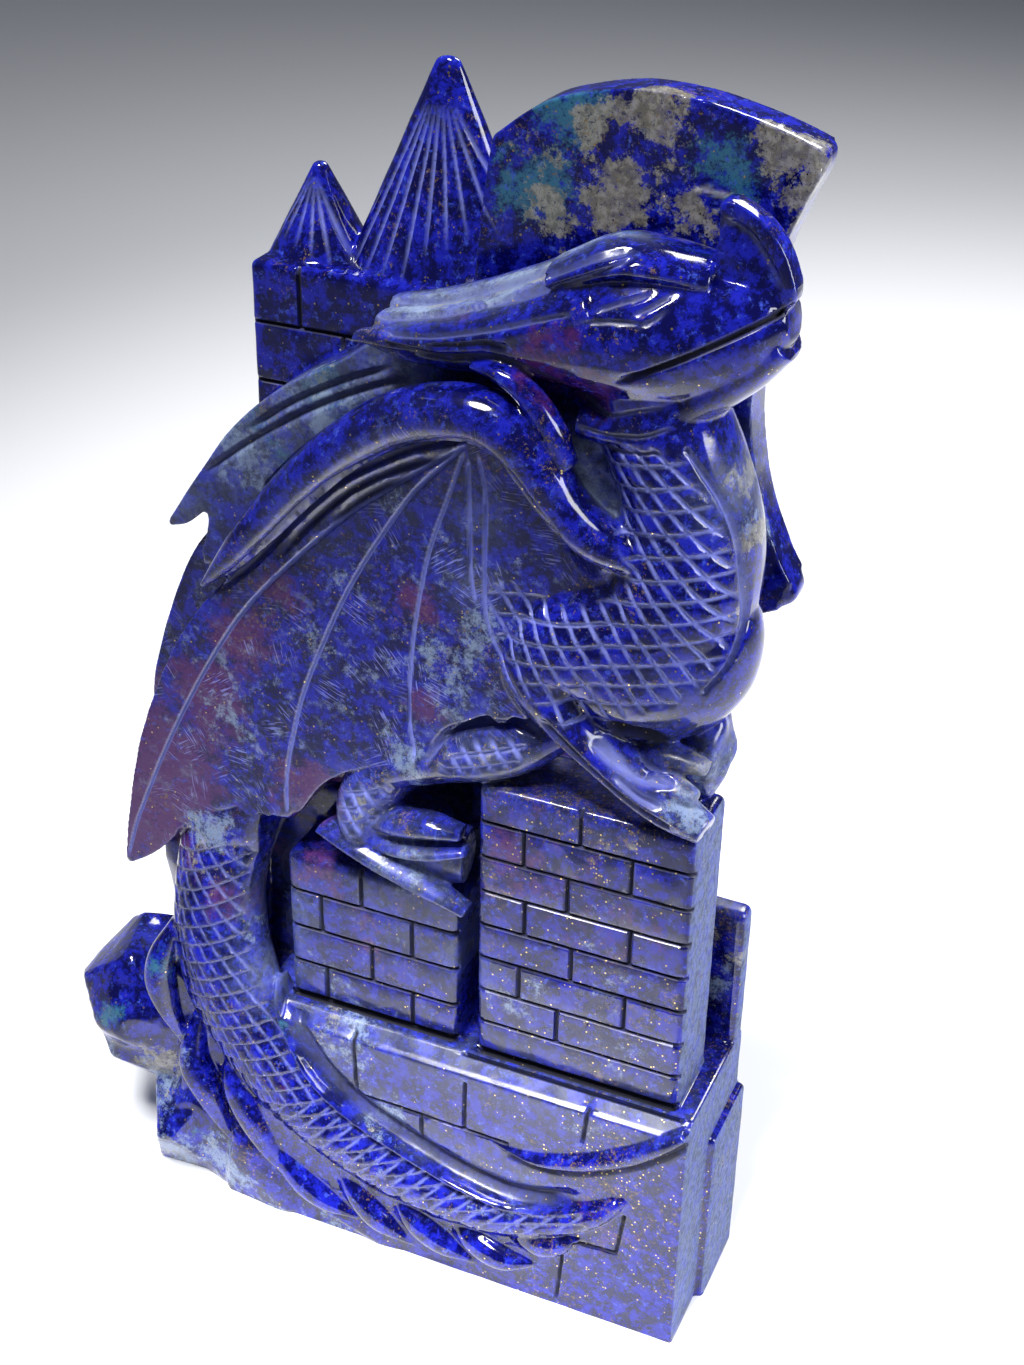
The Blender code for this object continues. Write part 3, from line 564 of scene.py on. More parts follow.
add_plate(NECK_WEB, -14.5, 5, 2.0)
scale(smooth_run(SCALED_BREAST, 4), breast_rows, breast_strokes, lift=0.45, width=0.24, pale=0.9)
for limb in (NECK, SHOULDER, HIND_THIGH, HIND_SHIN, HIND_PAD) + TOES + HIND_TOES:
    add_limb(limb)
for lump in BODY_LUMPS:
    add_lump(*lump)
engrave(BELLY_LINE, 0.28, 0.8, far=-8, pale=0.5, dark=0.2)
engrave(THIGH_EDGE, 0.6, 0.9, -24, -10, pale=0.5, dark=0.3, taper=2)
engrave(PAW_EDGE, 0.6, 1.0, far=-14, pale=0.3, dark=0.5, taper=2)
# A deep slot by the forepaw, darkened with painted shade.
groove(((44.5, 117.6), (49, 116.8)), 1.3, 3.0, far=-9, pale=0.0, dark=1.0)
for run in PAW_GAPS:
    engrave(run, 0.7, 1.1, far=-12, pale=0.6, dark=0.3, taper=2)
for patch in (THIGH_SCALES, SHIN_SCALES):
    closed = smooth_run(patch + patch[:1], 4)
    scale(closed, leg_rows, leg_strokes, depth=0.8, lift=0.6, width=0.4, pale=0.95, far=-12)
tint("calcite", (
    (61, 150, 4, 1.0), (58.5, 158, 4, 1.0), (62, 140, 3, 0.9), (24, 106, 8, 0.8), (3, 92, 8, 0.8),
    (56, 112, 5, 0.9), (30, 100, 6, 0.5),
))
tint("calcite", ((38, 153, 5, 0.8),), y=-14)
tint("frost", (
    (24, 107, 9, 0.5), (2, 92, 9, 0.5), (12, 84, 9, 0.7), (52, 115, 6, 0.4), (58, 111, 5, 0.9),
    (60, 158, 6, 0.7),
))
tint("frost", ((37, 153, 6, 1.3), (35, 158, 5, 1.3)), y=-14)
tint("frost", ((18.5, 72, 5, 1.0), (19, 84, 6, 1.0), (8, 77, 12, 0.6)), y=-15)
tint("frost", ((40, 101, 12, 0.6), (30, 101, 9, 0.7)), y=-13)
tint("frost", ((52, 127, 6, 0.4),), y=-18)
tint("milky", ((37, 154, 6, 1.0),), y=-14)
tint("milky", ((60.5, 152, 4, 0.8), (10, 84, 9, 0.8), (56, 108, 6, 0.9)))
tint("milky", ((40, 101, 10, 0.6),), y=-13)
tint("teal", ((38, 154, 6, 0.9),), y=-14)
tint("teal", ((62, 148, 5, 0.6), (10, 86, 10, 0.6), (60, 112, 6, 0.6), (27, 108, 6, 0.5)))

# The head
# A long skull with three crests swept back over the neck, a heavy brow and a horn on the
# nose. Mouth and eye are cut as deep slots with the edge of a thin wheel.
HEAD = (
    (1.5, -14, 170.5, 0.8, 2), (10, -13.5, 171, 3.2, 4.5), (20, -13, 173, 5, 6.5), (29, -12, 175.5, 7.2, 9),
    (38, -11, 177, 10.2, 11), (46, -10.5, 177.6, 11, 11), (54, -10, 179, 9.1, 9),
    (59.5, -10, 181, 6.3, 6.8),
    (63, -10, 181.8, 3, 3.6),
)
BROW = (
    (31, -12, 183.5, 2.5, 6), (39, -12.5, 187.4, 2.8, 7), (46, -12, 187.6, 2.4, 6.5),
    (52, -11, 186.5, 2.4, 5.5),
)
NOSE_HORN = (
    (52.5, 196.4), (54, 197.1), (58.1, 195.2), (61.1, 192.3), (63, 188.6), (63.6, 184.7),
    (59, 182), (53, 184), (51.5, 187.6), (52.4, 190), (52.9, 193),
)
HORN_FACE = ((53.4, 194.6), (55.6, 193.9), (57.6, 192.5), (60, 189.5), (62, 186.4))
CRESTS = (
    ((3.5, -8, 174.2, 0.8, 2.5), (14, -8, 176, 1.9, 4), (26, -8, 180.5, 2.3, 5), (37, -9, 186.3, 2.4, 5)),
    (
        (3.5, -13, 173.4, 0.8, 2.5), (14, -13, 174.7, 1.9, 4), (26, -12.5, 178.5, 2.3, 5),
        (38, -12, 184.2, 2.6, 6),
    ),
    (
        (1.2, -16, 171.2, 0.8, 1.8), (12, -16, 172.6, 2.3, 3.4), (24, -16, 175.6, 3, 4.6),
        (38, -15.5, 181.5, 3.4, 6),
    ),
)
JAW = (
    (36, -11, 164.5, 3.5, 8), (43, -11, 165, 4.2, 8.5), (50, -10.5, 169, 4.2, 7.5),
    (57, -10, 174, 3.6, 6.5),
    (62.5, -10, 178.5, 2.4, 4.5),
)
MOUTH_LINE = (
    (66, 185.8), (62.4, 183.6), (59.4, 182), (55.4, 179.7), (51.7, 177.7), (47.4, 175.5), (42.8, 173.3),
)
EYE_LINES = (
    ((37.5, 180.7), (41.3, 181.4), (45.6, 181.7)),
    ((38.9, 182.2), (42, 183.6), (45.8, 185)),
    ((44.1, 182.4), (46.7, 183.9), (49, 185.5)),
    ((45, 181.2), (47, 182.2), (48.4, 183.5)),
)
CREST_LINES = (
    ((4.4, 175), (11.3, 176.3), (17.4, 178.6), (24.2, 181.4), (32, 185.6), (38, 188.8), (43, 190.3)),
    (
        (3.6, 174), (8.5, 175), (13.7, 176.3), (20.2, 178.6), (26.3, 181), (32, 183.7), (37.3, 186.3),
        (43, 189.6),
    ),
)
CREST_UNDERSIDE = ((6, 173), (13.1, 174), (18.7, 175.5), (25.4, 177.7), (32, 180.2), (36, 181.6))
CHEEK_LINES = (
    ((6, 172), (11.7, 171.6), (17, 171.6), (23, 173), (28, 172.8), (34, 170.6)),
    ((13.3, 172.8), (18.9, 174), (23, 175.1), (26.3, 175.2)),
    ((29, 172.2), (32.6, 170.2), (38.6, 168.8)),
)
THROAT_LINES = (
    ((35, 168), (40.5, 167.2), (45, 168.8), (49, 169.8)),
    ((36, 165), (41, 164.6), (46, 165.4), (50, 167)),
    ((37, 162.2), (43, 162.4), (49, 163.6)),
)
for limb in (HEAD, BROW, JAW) + CRESTS:
    add_limb(limb)
add_plate(NOSE_HORN, -13.2, -9.2, 0.8)
engrave(HORN_FACE, 0.35, 0.7, far=-11, pale=0.2, dark=0.2, lean=2.5, taper=2)
tint("frost", (
    (8, 176, 8, 1.6), (15, 178, 8, 1.7), (24, 181.5, 8, 1.7), (33, 186, 7, 1.4), (40, 190, 4, 0.9),
), y=-12)
# The mouth slot is darkened with painted shade.
engrave(MOUTH_LINE, 0.36, 1.2, far=-9, pale=0.05, dark=1.0, taper=3)
for run in EYE_LINES + THROAT_LINES:
    engrave(run, 0.26, 0.4, far=-12, pale=0.3, dark=0.6, lean=0.3, taper=1.5)
for run in CREST_LINES + (CREST_UNDERSIDE,):
    engrave(run, 0.28, 0.7, far=-5, pale=0.4, dark=0.4, lean=0.5, taper=2)
for run in CHEEK_LINES:
    engrave(run, 0.32, 0.7, far=-12, pale=0.2, dark=0.7, lean=0.5, taper=2)
tint("calcite", ((12, 177, 7, 1.0), (20, 180, 5, 1.1), (29, 184, 6, 1.1)), y=-12)
tint("teal", ((10, 176, 7, 0.8), (25, 183, 7, 0.8)), y=-12)
tint("teal", ((38, 190, 6, 1.0),), y=-11)
tint("milky", ((12, 177, 9, 1.2), (24, 182, 9, 1.2), (36, 188, 6, 1.0)), y=-12)
# Violet on the head: partly the stone's own violet, partly painted reflection.
tint("violet", ((33, 173.5, 8, 1.0), (40, 172, 7, 0.8)))
tint("violet", ((18, 174, 6, 0.7),), y=-16)

# The tail
# The tail comes down over the rock and sweeps along the plinth wall to a point, with a
# polished ridge above it and a row of leaf-shaped fins below. A crescent blade beside it
# is the sharpened end of the plinth's moulding.
TAIL = (
    (-25, -9, 92, 9, 8), (-26.5, -12, 80, 8.5, 8), (-28, -15.5, 69, 8, 7.2), (-27.4, -18, 58, 8.8, 6.8),
    (-24.8, -19.5, 48, 9.6, 6.4), (-20.5, -20, 40, 9.4, 6.2), (-14.8, -20.3, 32.5, 9, 6.2),
    (-7.5, -20.5, 26.5, 8.6, 6.1),
    (2, -20.8, 21.8, 8.2, 6), (12, -21, 18.6, 7.2, 5.8), (22, -21.3, 17, 5.8, 5.4),
    (31, -21.8, 17.6, 4.6, 4.8),
    (40, -22.4, 20.8, 3.4, 4), (47, -23, 25, 2.2, 3), (51.5, -23.4, 29.6, 0.6, 1),
)
TAIL_RIDGE = (
    (-15.2, -19, 52, 0.5, 2), (-13.8, -19.8, 47, 0.8, 4), (-9.1, -20.6, 38.8, 1, 4.8),
    (-4.5, -21, 33.6, 1, 5),
    (1.5, -21.2, 30, 1, 5), (8.5, -21.4, 27, 1, 4.9), (15, -21.6, 24.6, 1, 4.7),
    (21.5, -21.8, 22.5, 0.9, 4.4),
    (30, -22.2, 21.2, 0.9, 4), (37, -22.6, 22.2, 0.8, 3.4), (44, -23, 25.4, 0.6, 2.6),
    (50, -23.4, 29.2, 0.4, 1.4),
)
RIDGE_HOLLOW = (
    (-11.5, 49.5), (-6.6, 40.8), (-2.2, 36), (3, 32.4), (9.6, 29.4), (16, 27), (22.2, 25), (30, 23.8),
    (37, 24.8),
    (43, 27.6),
)
LEAVES = (
    ((-35, 58), (-37.6, 50), (-37, 43), (-33.5, 33.5)),
    ((-32, 38), (-32.5, 30), (-29, 22.5), (-24.9, 13.5)),
    ((-25, 33), (-23.5, 26.5), (-18.5, 17.5), (-12, 7.2)), ((-17, 17), (-12.5, 11), (-6.1, 7), (1, 4.6)),
    ((-5, 15), (1, 10), (6, 6.2), (11.8, 2.8)), ((7, 12), (12, 9), (18, 6), (24, 3.6)),
    ((18, 10.5), (24, 8.6), (30, 7.2), (35.5, 8)), ((29, 13), (35, 13.4), (39.5, 14.8), (43.8, 17.5)),
)
CRESCENT = (
    (27, -22.4, 33.2, 0.3, 1), (33, -22.8, 32.6, 0.8, 1.8), (38.3, -23, 33.4, 1.4, 2.1),
    (45.4, -23, 36, 1.8, 2.2),
    (52.3, -23, 40.2, 1.9, 2.2), (57.6, -23, 44.6, 1.6, 2.1), (61, -22.8, 47.6, 0.9, 1.6),
)
SCALED_FROM, SCALED_TO = 10, 116
SCALED_SHARE = 0.88
ROW_CHANGE = 35.0
UPPER_ROW, LOWER_ROW = 3.6, 2.8
TAIL_STROKE = 3.3


def tail_rows(x, z):
    """Row number down the tail; the rows close up where it narrows."""
    level = z - 0.4 * x
    above = ROW_CHANGE / LOWER_ROW + (level - ROW_CHANGE) / UPPER_ROW
    return np.where(level < ROW_CHANGE, level / LOWER_ROW, above)


def tail_strokes(x, z):
    """Stroke number; strokes fall to the right high up and rise to the right lower down."""
    high = np.floor(tail_rows(x, z)) * LOWER_ROW > ROW_CHANGE * 0.9
    return np.where(high, x + z / 1.2, x - z / 1.16) / TAIL_STROKE


def sleeve(stations, share):
    """The outline that a limb has from the front, drawn in by a share of its half width."""
    run = smooth_run(stations, 9)[SCALED_FROM:SCALED_TO]
    way = np.gradient(run[:, [0, 2]], axis=0)
    way /= np.linalg.norm(way, axis=1)[:, None]
    aside = np.stack([-way[:, 1], way[:, 0]], axis=1) * (run[:, 3] * share)[:, None]
    return np.vstack([run[:, [0, 2]] + aside, (run[:, [0, 2]] - aside)[::-1]])


scale(sleeve(TAIL, SCALED_SHARE), tail_rows, tail_strokes, depth=0.65, lift=0.75, width=0.2, pale=0.5, far=-11)
engrave(RIDGE_HOLLOW, 1.2, 1.5, -24.6, -21.5, pale=0.1, dark=0.5, taper=6)
for limb in (TAIL, TAIL_RIDGE):
    add_limb(limb)
LEAF_SWELL = ((-19.5, 1.4, 2), (-22.4, 2.7, 3), (-23.2, 2.5, 2.8), (-23, 0.4, 1))
for leaf in LEAVES:
    add_limb([(x, y, z, wide, deep) for (x, z), (y, wide, deep) in zip(leaf, LEAF_SWELL)])
add_limb(CRESCENT)
tint("frost", ((-9, 45, 5, 0.5), (-3, 38, 5, 0.5)), y=-22)
tint("frost", ((5, 32, 5, 0.5), (14, 28, 5, 0.5), (24, 25, 5, 0.5), (34, 25, 5, 0.5)), y=-23)
tint("frost", ((-49, 32, 9, 0.5),), y=-8)
tint("frost", ((-40, 12, 9, 0.6),), y=-14)
tint("frost", ((-15, 66, 7, 0.9), (-15.5, 54, 6, 0.9), (20, 66, 5, 0.8)))
CRESCENT_BAND = ((31, 31.8), (36, 31.2), (40.6, 31.9), (46.4, 34.3), (52.8, 38.1), (58.6, 43), (61.8, 46.4))
engrave(CRESCENT_BAND, 0.7, 0.5, -27, -20, pale=0.0, dark=0.7)
tint("calcite", (
    (-44, 20, 8, 1.3), (-21, -5, 7, 1.0), (-38, 4, 7, 0.9), (-30, 6, 6, 0.8), (-27, 76, 8, 0.8),
    (-36, 60, 6, 0.7),
))
tint("teal", (
    (-52, 31, 7, 1.0), (-36, 50, 8, 0.9), (-35, 8, 8, 0.8), (-12, 44, 6, 0.8), (-47, 12, 8, 0.9),
    (-30, 84, 6, 0.6),
))
tint("milky", (
    (-38, 4, 9, 1.2), (-34, -4, 8, 1.1), (-44, 16, 8, 1.0), (-56, 20, 7, 0.9), (-28, 80, 7, 1.0),
    (-28, 6, 9, 1.1), (-20, -3, 8, 1.1), (-48, 6, 8, 1.0), (-36, 32, 6, 0.9), (-5, -2, 9, 0.8),
    (-20, 62, 6, 0.6), (-52, 24, 6, 0.6), (8, 24, 12, 0.5), (-12, 40, 8, 0.5), (28, 17, 10, 0.5),
))
tint("violet", ((-22, 68, 7, 0.8), (-14, 30, 8, 0.5)))
tint("gold", ((50, 34, 10, 1.2), (44, 34, 6, 0.9), (-30, 78, 5, 0.6)))

# One stone
# All forms belong to a single block, so they are fused, rounded over by the polishing
# wheels and then cut along the noted lines. Polish by hand leaves flat faces a little
# uneven. Carving is fine in front and plain behind.
GRAIN = 0.3
ROUNDING = 5
SOFTENING = 40
SMOOTHING = 0.5
RELIEF = 0.35
MOST_TRIANGLES = 194000
UNEVEN, UNEVEN_TURN = 0.02, 0.8

bmesh.ops.recalc_face_normals(block, faces=block.faces)
rough_mesh = bpy.data.meshes.new("rough_block")
block.to_mesh(rough_mesh)
block.free()
rough = bpy.data.objects.new("rough_block", rough_mesh)
bpy.context.scene.collection.objects.link(rough)


def shaped(item, kind, **settings):
    """The mesh that one more modifier makes of an object."""
    modifier = item.modifiers.new("shaping", kind)
    for name, value in settings.items():
        setattr(modifier, name, value)
    graph = bpy.context.evaluated_depsgraph_get()
    return bpy.data.meshes.new_from_object(item.evaluated_get(graph))


def read_vectors(mesh, name):
    """Places or normals of a mesh's vertices, a row for each."""
    values = np.empty(len(mesh.vertices) * 3, np.float32)
    mesh.vertices.foreach_get(name, values)
    return values.reshape(-1, 3).astype(float)


rough.data = shaped(rough, "REMESH", mode="VOXEL", voxel_size=GRAIN * UNIT)
rough.modifiers.clear()
dense = shaped(rough, "SMOOTH", factor=SMOOTHING, iterations=ROUNDING)
rough.modifiers.clear()
soft = shaped(rough, "SMOOTH", factor=SMOOTHING, iterations=SOFTENING)
bpy.data.objects.remove(rough, do_unlink=True)
places = read_vectors(dense, "co")
normals = read_vectors(dense, "normal")
bulge = ((places - read_vectors(soft, "co")) * normals).sum(axis=1) / UNIT
grid = (places - np.array(GRID_ORIGIN)) / UNIT
depth = np.zeros(len(places))
pale = np.zeros(len(places))
dark = np.zeros(len(places))


def distance_to_run(x, z, run):
    """Distance to a line of straight stretches, the side it is on, and how far along it is."""
    best = np.full(len(x), 1e9)
    side = np.zeros(len(x))
    along = np.zeros(len(x))
    passed = 0.0
    for (x0, z0), (x1, z1) in zip(run, run[1:]):
        dx, dz = x1 - x0, z1 - z0
        length = math.hypot(dx, dz)
        if not length:
            continue
        share = np.clip(((x - x0) * dx + (z - z0) * dz) / (length * length), 0, 1)
        away = np.hypot(x - x0 - share * dx, z - z0 - share * dz)
        closer = away < best
        best = np.where(closer, away, best)
        side = np.where(closer, np.sign(dx * (z - z0) - dz * (x - x0)), side)
        along = np.where(closer, passed + share * length, along)
        passed += length
    return best, side, along, passed


PALE_REACH, DARK_REACH = 1.2, 1.6
CUT_FACING, SCALE_FACING = 0.25, 0.1
BLUNT_END = 0.15


def stand_near(facing, low, high):
    """Which of some vertices stand between two x, z corners."""
    x, z = grid[:, 0], grid[:, 2]
    return np.nonzero(facing & (x > low[0]) & (x < high[0]) & (z > low[1]) & (z < high[1]))[0]


def cut_groove(line):
    """Cuts one noted line, and marks its pale lips and its dark floor, which is painted shade."""
    run, width = line["run"], line["width"]
    room = width * (3 + 2 * line["lean"])
    facing = normals[:, 1] * line["side"] > CUT_FACING
    facing &= (grid[:, 1] > line["near"]) & (grid[:, 1] < line["far"])
    near = stand_near(facing, run.min(axis=0) - room, run.max(axis=0) + room)
    if not len(near):
        return
    away, side, along, length = distance_to_run(grid[near, 0], grid[near, 2], run)
    spread = np.where(side < 0, width * (1 + 2 * line["lean"]), width)
    fade = 1.0
    if line["taper"]:
        fade = np.clip(np.minimum(along, length - along) / line["taper"] + BLUNT_END, 0, 1)
    cut = np.exp(-((away / spread) ** 2)) * fade
    depth[near] = np.maximum(depth[near], line["depth"] * cut)
    for marked, strength, reach in ((pale, line["pale"], PALE_REACH), (dark, line["dark"], DARK_REACH)):
        strip = np.exp(-((away / (width * reach)) ** 4)) * fade
        marked[near] = np.maximum(marked[near], strength * strip)


def inside(x, z, outline):
    """Which points lie within a closed outline."""
    within = np.zeros(len(x), bool)
    for (x0, z0), (x1, z1) in zip(outline, np.roll(outline, -1, axis=0)):
        if z0 != z1:
            within ^= ((z0 > z) != (z1 > z)) & (x < x0 + (z - z0) * (x1 - x0) / (z1 - z0))
    return within


PATCH_EDGE = 1.2
PROBE = 0.01
LEAST_SLOPE, MOST_SLOPE = 0.15, 0.8
TUCK_CURVE, SCALE_PALE_REACH = 1.5, 1.1


def patch_points(outline, far):
    """Vertices on the seen side within an outline, with a fade towards its edge."""
    facing = (normals[:, 1] < -SCALE_FACING) & (grid[:, 1] < far)
    near = stand_near(facing, outline.min(axis=0), outline.max(axis=0))
    x, z = grid[near, 0], grid[near, 2]
    kept = inside(x, z, outline)
    near, x, z = near[kept], x[kept], z[kept]
    closed = np.vstack([outline, outline[:1]])
    fade = np.clip(distance_to_run(x, z, closed)[0] / PATCH_EDGE, 0, 1)
    return near, x, z, fade


def cut_scales(patch):
    """Cuts a patch of scales: two families of lines, with each row tucked under the next."""
    near, x, z, fade = patch_points(patch["outline"], patch["far"])
    row, stroke = patch["rows"](x, z), patch["strokes"](x, z)
    off = []
    for number, family in ((row, patch["rows"]), (stroke, patch["strokes"])):
        slope = np.hypot(family(x + PROBE, z) - number, family(x, z + PROBE) - number) / PROBE
        off.append(np.abs(number - np.round(number)) / np.clip(slope, LEAST_SLOPE, MOST_SLOPE))
    away = np.minimum(off[0], off[1])
    line = np.exp(-((away / patch["width"]) ** 2)) * fade
    tuck = (row - np.floor(row)) ** TUCK_CURVE
    depth[near] += patch["depth"] * line + patch["lift"] * tuck * (1 - line) * fade
    strip = np.exp(-((away / (patch["width"] * SCALE_PALE_REACH)) ** 4)) * fade
    pale[near] = np.maximum(pale[near], patch["pale"] * strip)


for line in grooves:
    cut_groove(line)
for patch in scales:
    cut_scales(patch)

grid_x, grid_z = grid[:, 0], grid[:, 2]
sway = np.sin(UNEVEN_TURN * grid_x + np.sin(0.4 * grid_z)) + np.sin(UNEVEN_TURN * grid_z + np.sin(0.5 * grid_x))
depth += UNEVEN * sway
places -= normals * (depth * UNIT)[:, None]
dense.vertices.foreach_set("co", places.astype(np.float32).ravel())
dense.update()
# hollow marks concave stone, which is frosted and darkened with painted shade; crown marks convex rims, which
# get a painted highlight.
marks = {
    "pale_cut": pale,
    "dark_cut_and_shade": dark,
    "hollow": np.clip(-bulge / RELIEF, 0, 1),
    "crown": np.clip(bulge / RELIEF, 0, 1),
}
for name, values in marks.items():
    layer = dense.attributes.new(name, "FLOAT", "POINT")
    layer.data.foreach_set("value", values.astype(np.float32))
true_normals = dense.attributes.new("true_normal", "FLOAT_VECTOR", "POINT")
true_normals.data.foreach_set("vector", read_vectors(dense, "normal").astype(np.float32).ravel())
carving = bpy.data.objects.new("lapis_dragon_carving", dense)
bpy.context.scene.collection.objects.link(carving)
faces_now = len(dense.polygons) * 2
lean_mesh = shaped(carving, "DECIMATE", ratio=MOST_TRIANGLES / faces_now)
carving.modifiers.clear()
carving.data = lean_mesh

shape = bmesh.new()
shape.from_mesh(lean_mesh)
cut = bmesh.ops.bisect_plane(
    shape, geom=list(shape.verts) + list(shape.edges) + list(shape.faces),
    plane_co=(0, 0, cad_low.z), plane_no=(0, 0, -1), clear_outer=True,
)
rim = [item for item in cut["geom_cut"] if isinstance(item, bmesh.types.BMEdge)]
bmesh.ops.contextual_create(shape, geom=rim)
bmesh.ops.triangulate(shape, faces=shape.faces)
shape.to_mesh(lean_mesh)
shape.free()
final_places = read_vectors(lean_mesh, "co")
final_places = np.clip(final_places, np.array(cad_low), np.array(cad_high))
lean_mesh.vertices.foreach_set("co", final_places.astype(np.float32).ravel())
lean_mesh.update()
lean_mesh.shade_smooth()

GROUND_FACING, GROUND_FROM, GROUND_FROST = 0.8, 55.0, 1.3
SHALLOW = 2.0
final_grid = (final_places - np.array(GRID_ORIGIN)) / UNIT
ground = (read_vectors(lean_mesh, "normal")[:, 0] > GROUND_FACING) & (final_grid[:, 0] > GROUND_FROM)
ground &= final_grid[:, 2] < TALL["top"]
for kind in sorted({spot[0] for spot in tints}):
    amount = GROUND_FROST * ground if kind == "frost" else np.zeros(len(final_grid))
    for _, x, z, reach, strength, y in (spot for spot in tints if spot[0] == kind):
        away = np.hypot(final_grid[:, 0] - x, final_grid[:, 2] - z)
        if y is not None:
            away = np.hypot(away, SHALLOW * (final_grid[:, 1] - y))
        amount = np.maximum(amount, strength * np.exp(-((away / reach) ** 2)))
    layer = lean_mesh.attributes.new(kind, "FLOAT", "POINT")
    layer.data.foreach_set("value", amount.astype(np.float32))

CREASE, NEARLY_FLAT, BROAD_FACE = 0.35, 0.985, 1.6
kept_normals = np.empty(len(lean_mesh.vertices) * 3, np.float32)
lean_mesh.attributes["true_normal"].data.foreach_get("vector", kept_normals)
kept_normals = kept_normals.reshape(-1, 3)
kept_normals /= np.maximum(np.linalg.norm(kept_normals, axis=1), 1e-6)[:, None]
corners = np.empty(len(lean_mesh.loops), np.int32)
lean_mesh.loops.foreach_get("vertex_index", corners)
face_normals = np.empty(len(lean_mesh.polygons) * 3, np.float32)
lean_mesh.polygons.foreach_get("normal", face_normals)
face_normals = np.repeat(face_normals.reshape(-1, 3), 3, axis=0)
corner_normals = kept_normals[corners]
agree = (corner_normals * face_normals).sum(axis=1)
ends = final_places[corners].reshape(-1, 3, 3)
spans = np.linalg.norm(ends - np.roll(ends, 1, axis=1), axis=2).max(axis=1)
broad = np.repeat(spans > BROAD_FACE * UNIT, 3)
flat = (agree < CREASE) | (broad & (agree < NEARLY_FLAT))
corner_normals[flat] = face_normals[flat]
lean_mesh.attributes.remove(lean_mesh.attributes["true_normal"])
lean_mesh.normals_split_custom_set(corner_normals.tolist())

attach(carving, "root")
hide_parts("dragon_castle_carving")

# Lapis lazuli
# Deep ultramarine stone clouded with grey calcite and violet, with specks of pyrite; some of the
# violet patches are painted reflections. It is glossy where the wheel reached it and dull and pale
# blue in cuts and hollows. Painted shade darkens deep hollows and the floors of cuts, and a painted
# highlight brightens convex rims.
lapis = bpy.data.materials.new("polished_lapis")
lapis.use_nodes = True


def add_node(tree, kind, feeds=(), **settings):
    """A node with its settings, each input fed by a value or by another node's output."""
    made = tree.nodes.new(kind)
    for name, value in settings.items():
        setattr(made, name, value)
    for socket, feed in dict(feeds).items():
        if isinstance(feed, bpy.types.NodeSocket):
            tree.links.new(feed, made.inputs[socket])
        else:
            made.inputs[socket].default_value = feed
    return made


def fractal(tree, where, scale, detail=4.0, roughness=0.6, distortion=0.0):
    """Cloudy noise that stays with the stone."""
    feeds = {
        "Vector": where, "Scale": scale, "Detail": detail, "Roughness": roughness, "Distortion": distortion,
    }
    return add_node(tree, "ShaderNodeTexNoise", feeds).outputs["Fac"]


def ramp(tree, value, low, high, to_low=0.0, to_high=1.0):
    """Stretches the values between low and high, smoothly and clamped."""
    feeds = {0: value, 1: low, 2: high, 3: to_low, 4: to_high}
    return add_node(tree, "ShaderNodeMapRange", feeds, interpolation_type="SMOOTHSTEP").outputs[0]


def mixed(tree, share, base, other, kind="MIX"):
    """Two colours mixed by a share."""
    node = add_node(tree, "ShaderNodeMix", {0: share, 6: base, 7: other}, data_type="RGBA", blend_type=kind)
    return node.outputs[2]


def worked(tree, action, first, second=0.5):
    """One step of arithmetic."""
    return add_node(tree, "ShaderNodeMath", {0: first, 1: second}, operation=action).outputs[0]


def times(tree, first, second):
    """Two values multiplied."""
    return worked(tree, "MULTIPLY", first, second)


def mark(tree, name):
    """A mask that was written on the mesh when the stone was cut."""
    return add_node(tree, "ShaderNodeAttribute", attribute_name=name, attribute_type="GEOMETRY").outputs["Fac"]


def new_group(name, takes, gives):
    """An empty node group with named inputs and outputs; kinds are given by socket type."""
    group = bpy.data.node_groups.new(name, "ShaderNodeTree")
    for label, kind in takes:
        group.interface.new_socket(label, in_out="INPUT", socket_type=kind)
    for label, kind in gives:
        group.interface.new_socket(label, in_out="OUTPUT", socket_type=kind)
    return group, group.nodes.new("NodeGroupInput").outputs, group.nodes.new("NodeGroupOutput").inputs


def blotch(tree, noise_value, mask, low, high, pull):
    """Where cloudy noise, pulled up by a mask, passes between two levels."""
    return ramp(tree, worked(tree, "ADD", noise_value, times(tree, mask, pull)), low, high)


VALUE, COLOUR, VECTOR = "NodeSocketFloat", "NodeSocketColor", "NodeSocketVector"
NAVY, ROYAL = (0.0005, 0.0008, 0.055, 1), (0.007, 0.011, 0.34, 1)
BRIGHT_BLUE = (0.045, 0.085, 0.58, 1)
VIOLET, TEAL = (0.070, 0.015, 0.110, 1), (0.028, 0.125, 0.210, 1)
CALCITE, SAND = (0.150, 0.140, 0.110, 1), (0.30, 0.29, 0.24, 1)
RUST, MILK = (0.16, 0.10, 0.045, 1), (0.21, 0.28, 0.43, 1)
PATCH_COVER, RUST_COVER = 0.85, 0.8
FLECK_SCALE = 2200.0

stone, given, out = new_group(
    "lapis_stone",
    (
        ("Position", VECTOR), ("Calcite", VALUE), ("Teal", VALUE), ("Violet", VALUE), ("Milky", VALUE),
        ("Gold", VALUE),
    ),
    (("Color", COLOUR), ("Pyrite", VALUE)),
)
clouds, ragged, drifts, veils, mottle, grains = (
    fractal(stone, given["Position"], *look) for look in (
        (75.0, 8.0, 0.70, 0.4), (150.0, 10.0, 0.80), (340.0, 8.0, 0.76, 0.2),
        (230.0, 10.0, 0.80), (620.0, 6.0, 0.75), (1500.0, 4.0, 0.80),
    )
)
body = mixed(stone, ramp(stone, drifts, 0.45, 0.58), NAVY, ROYAL)
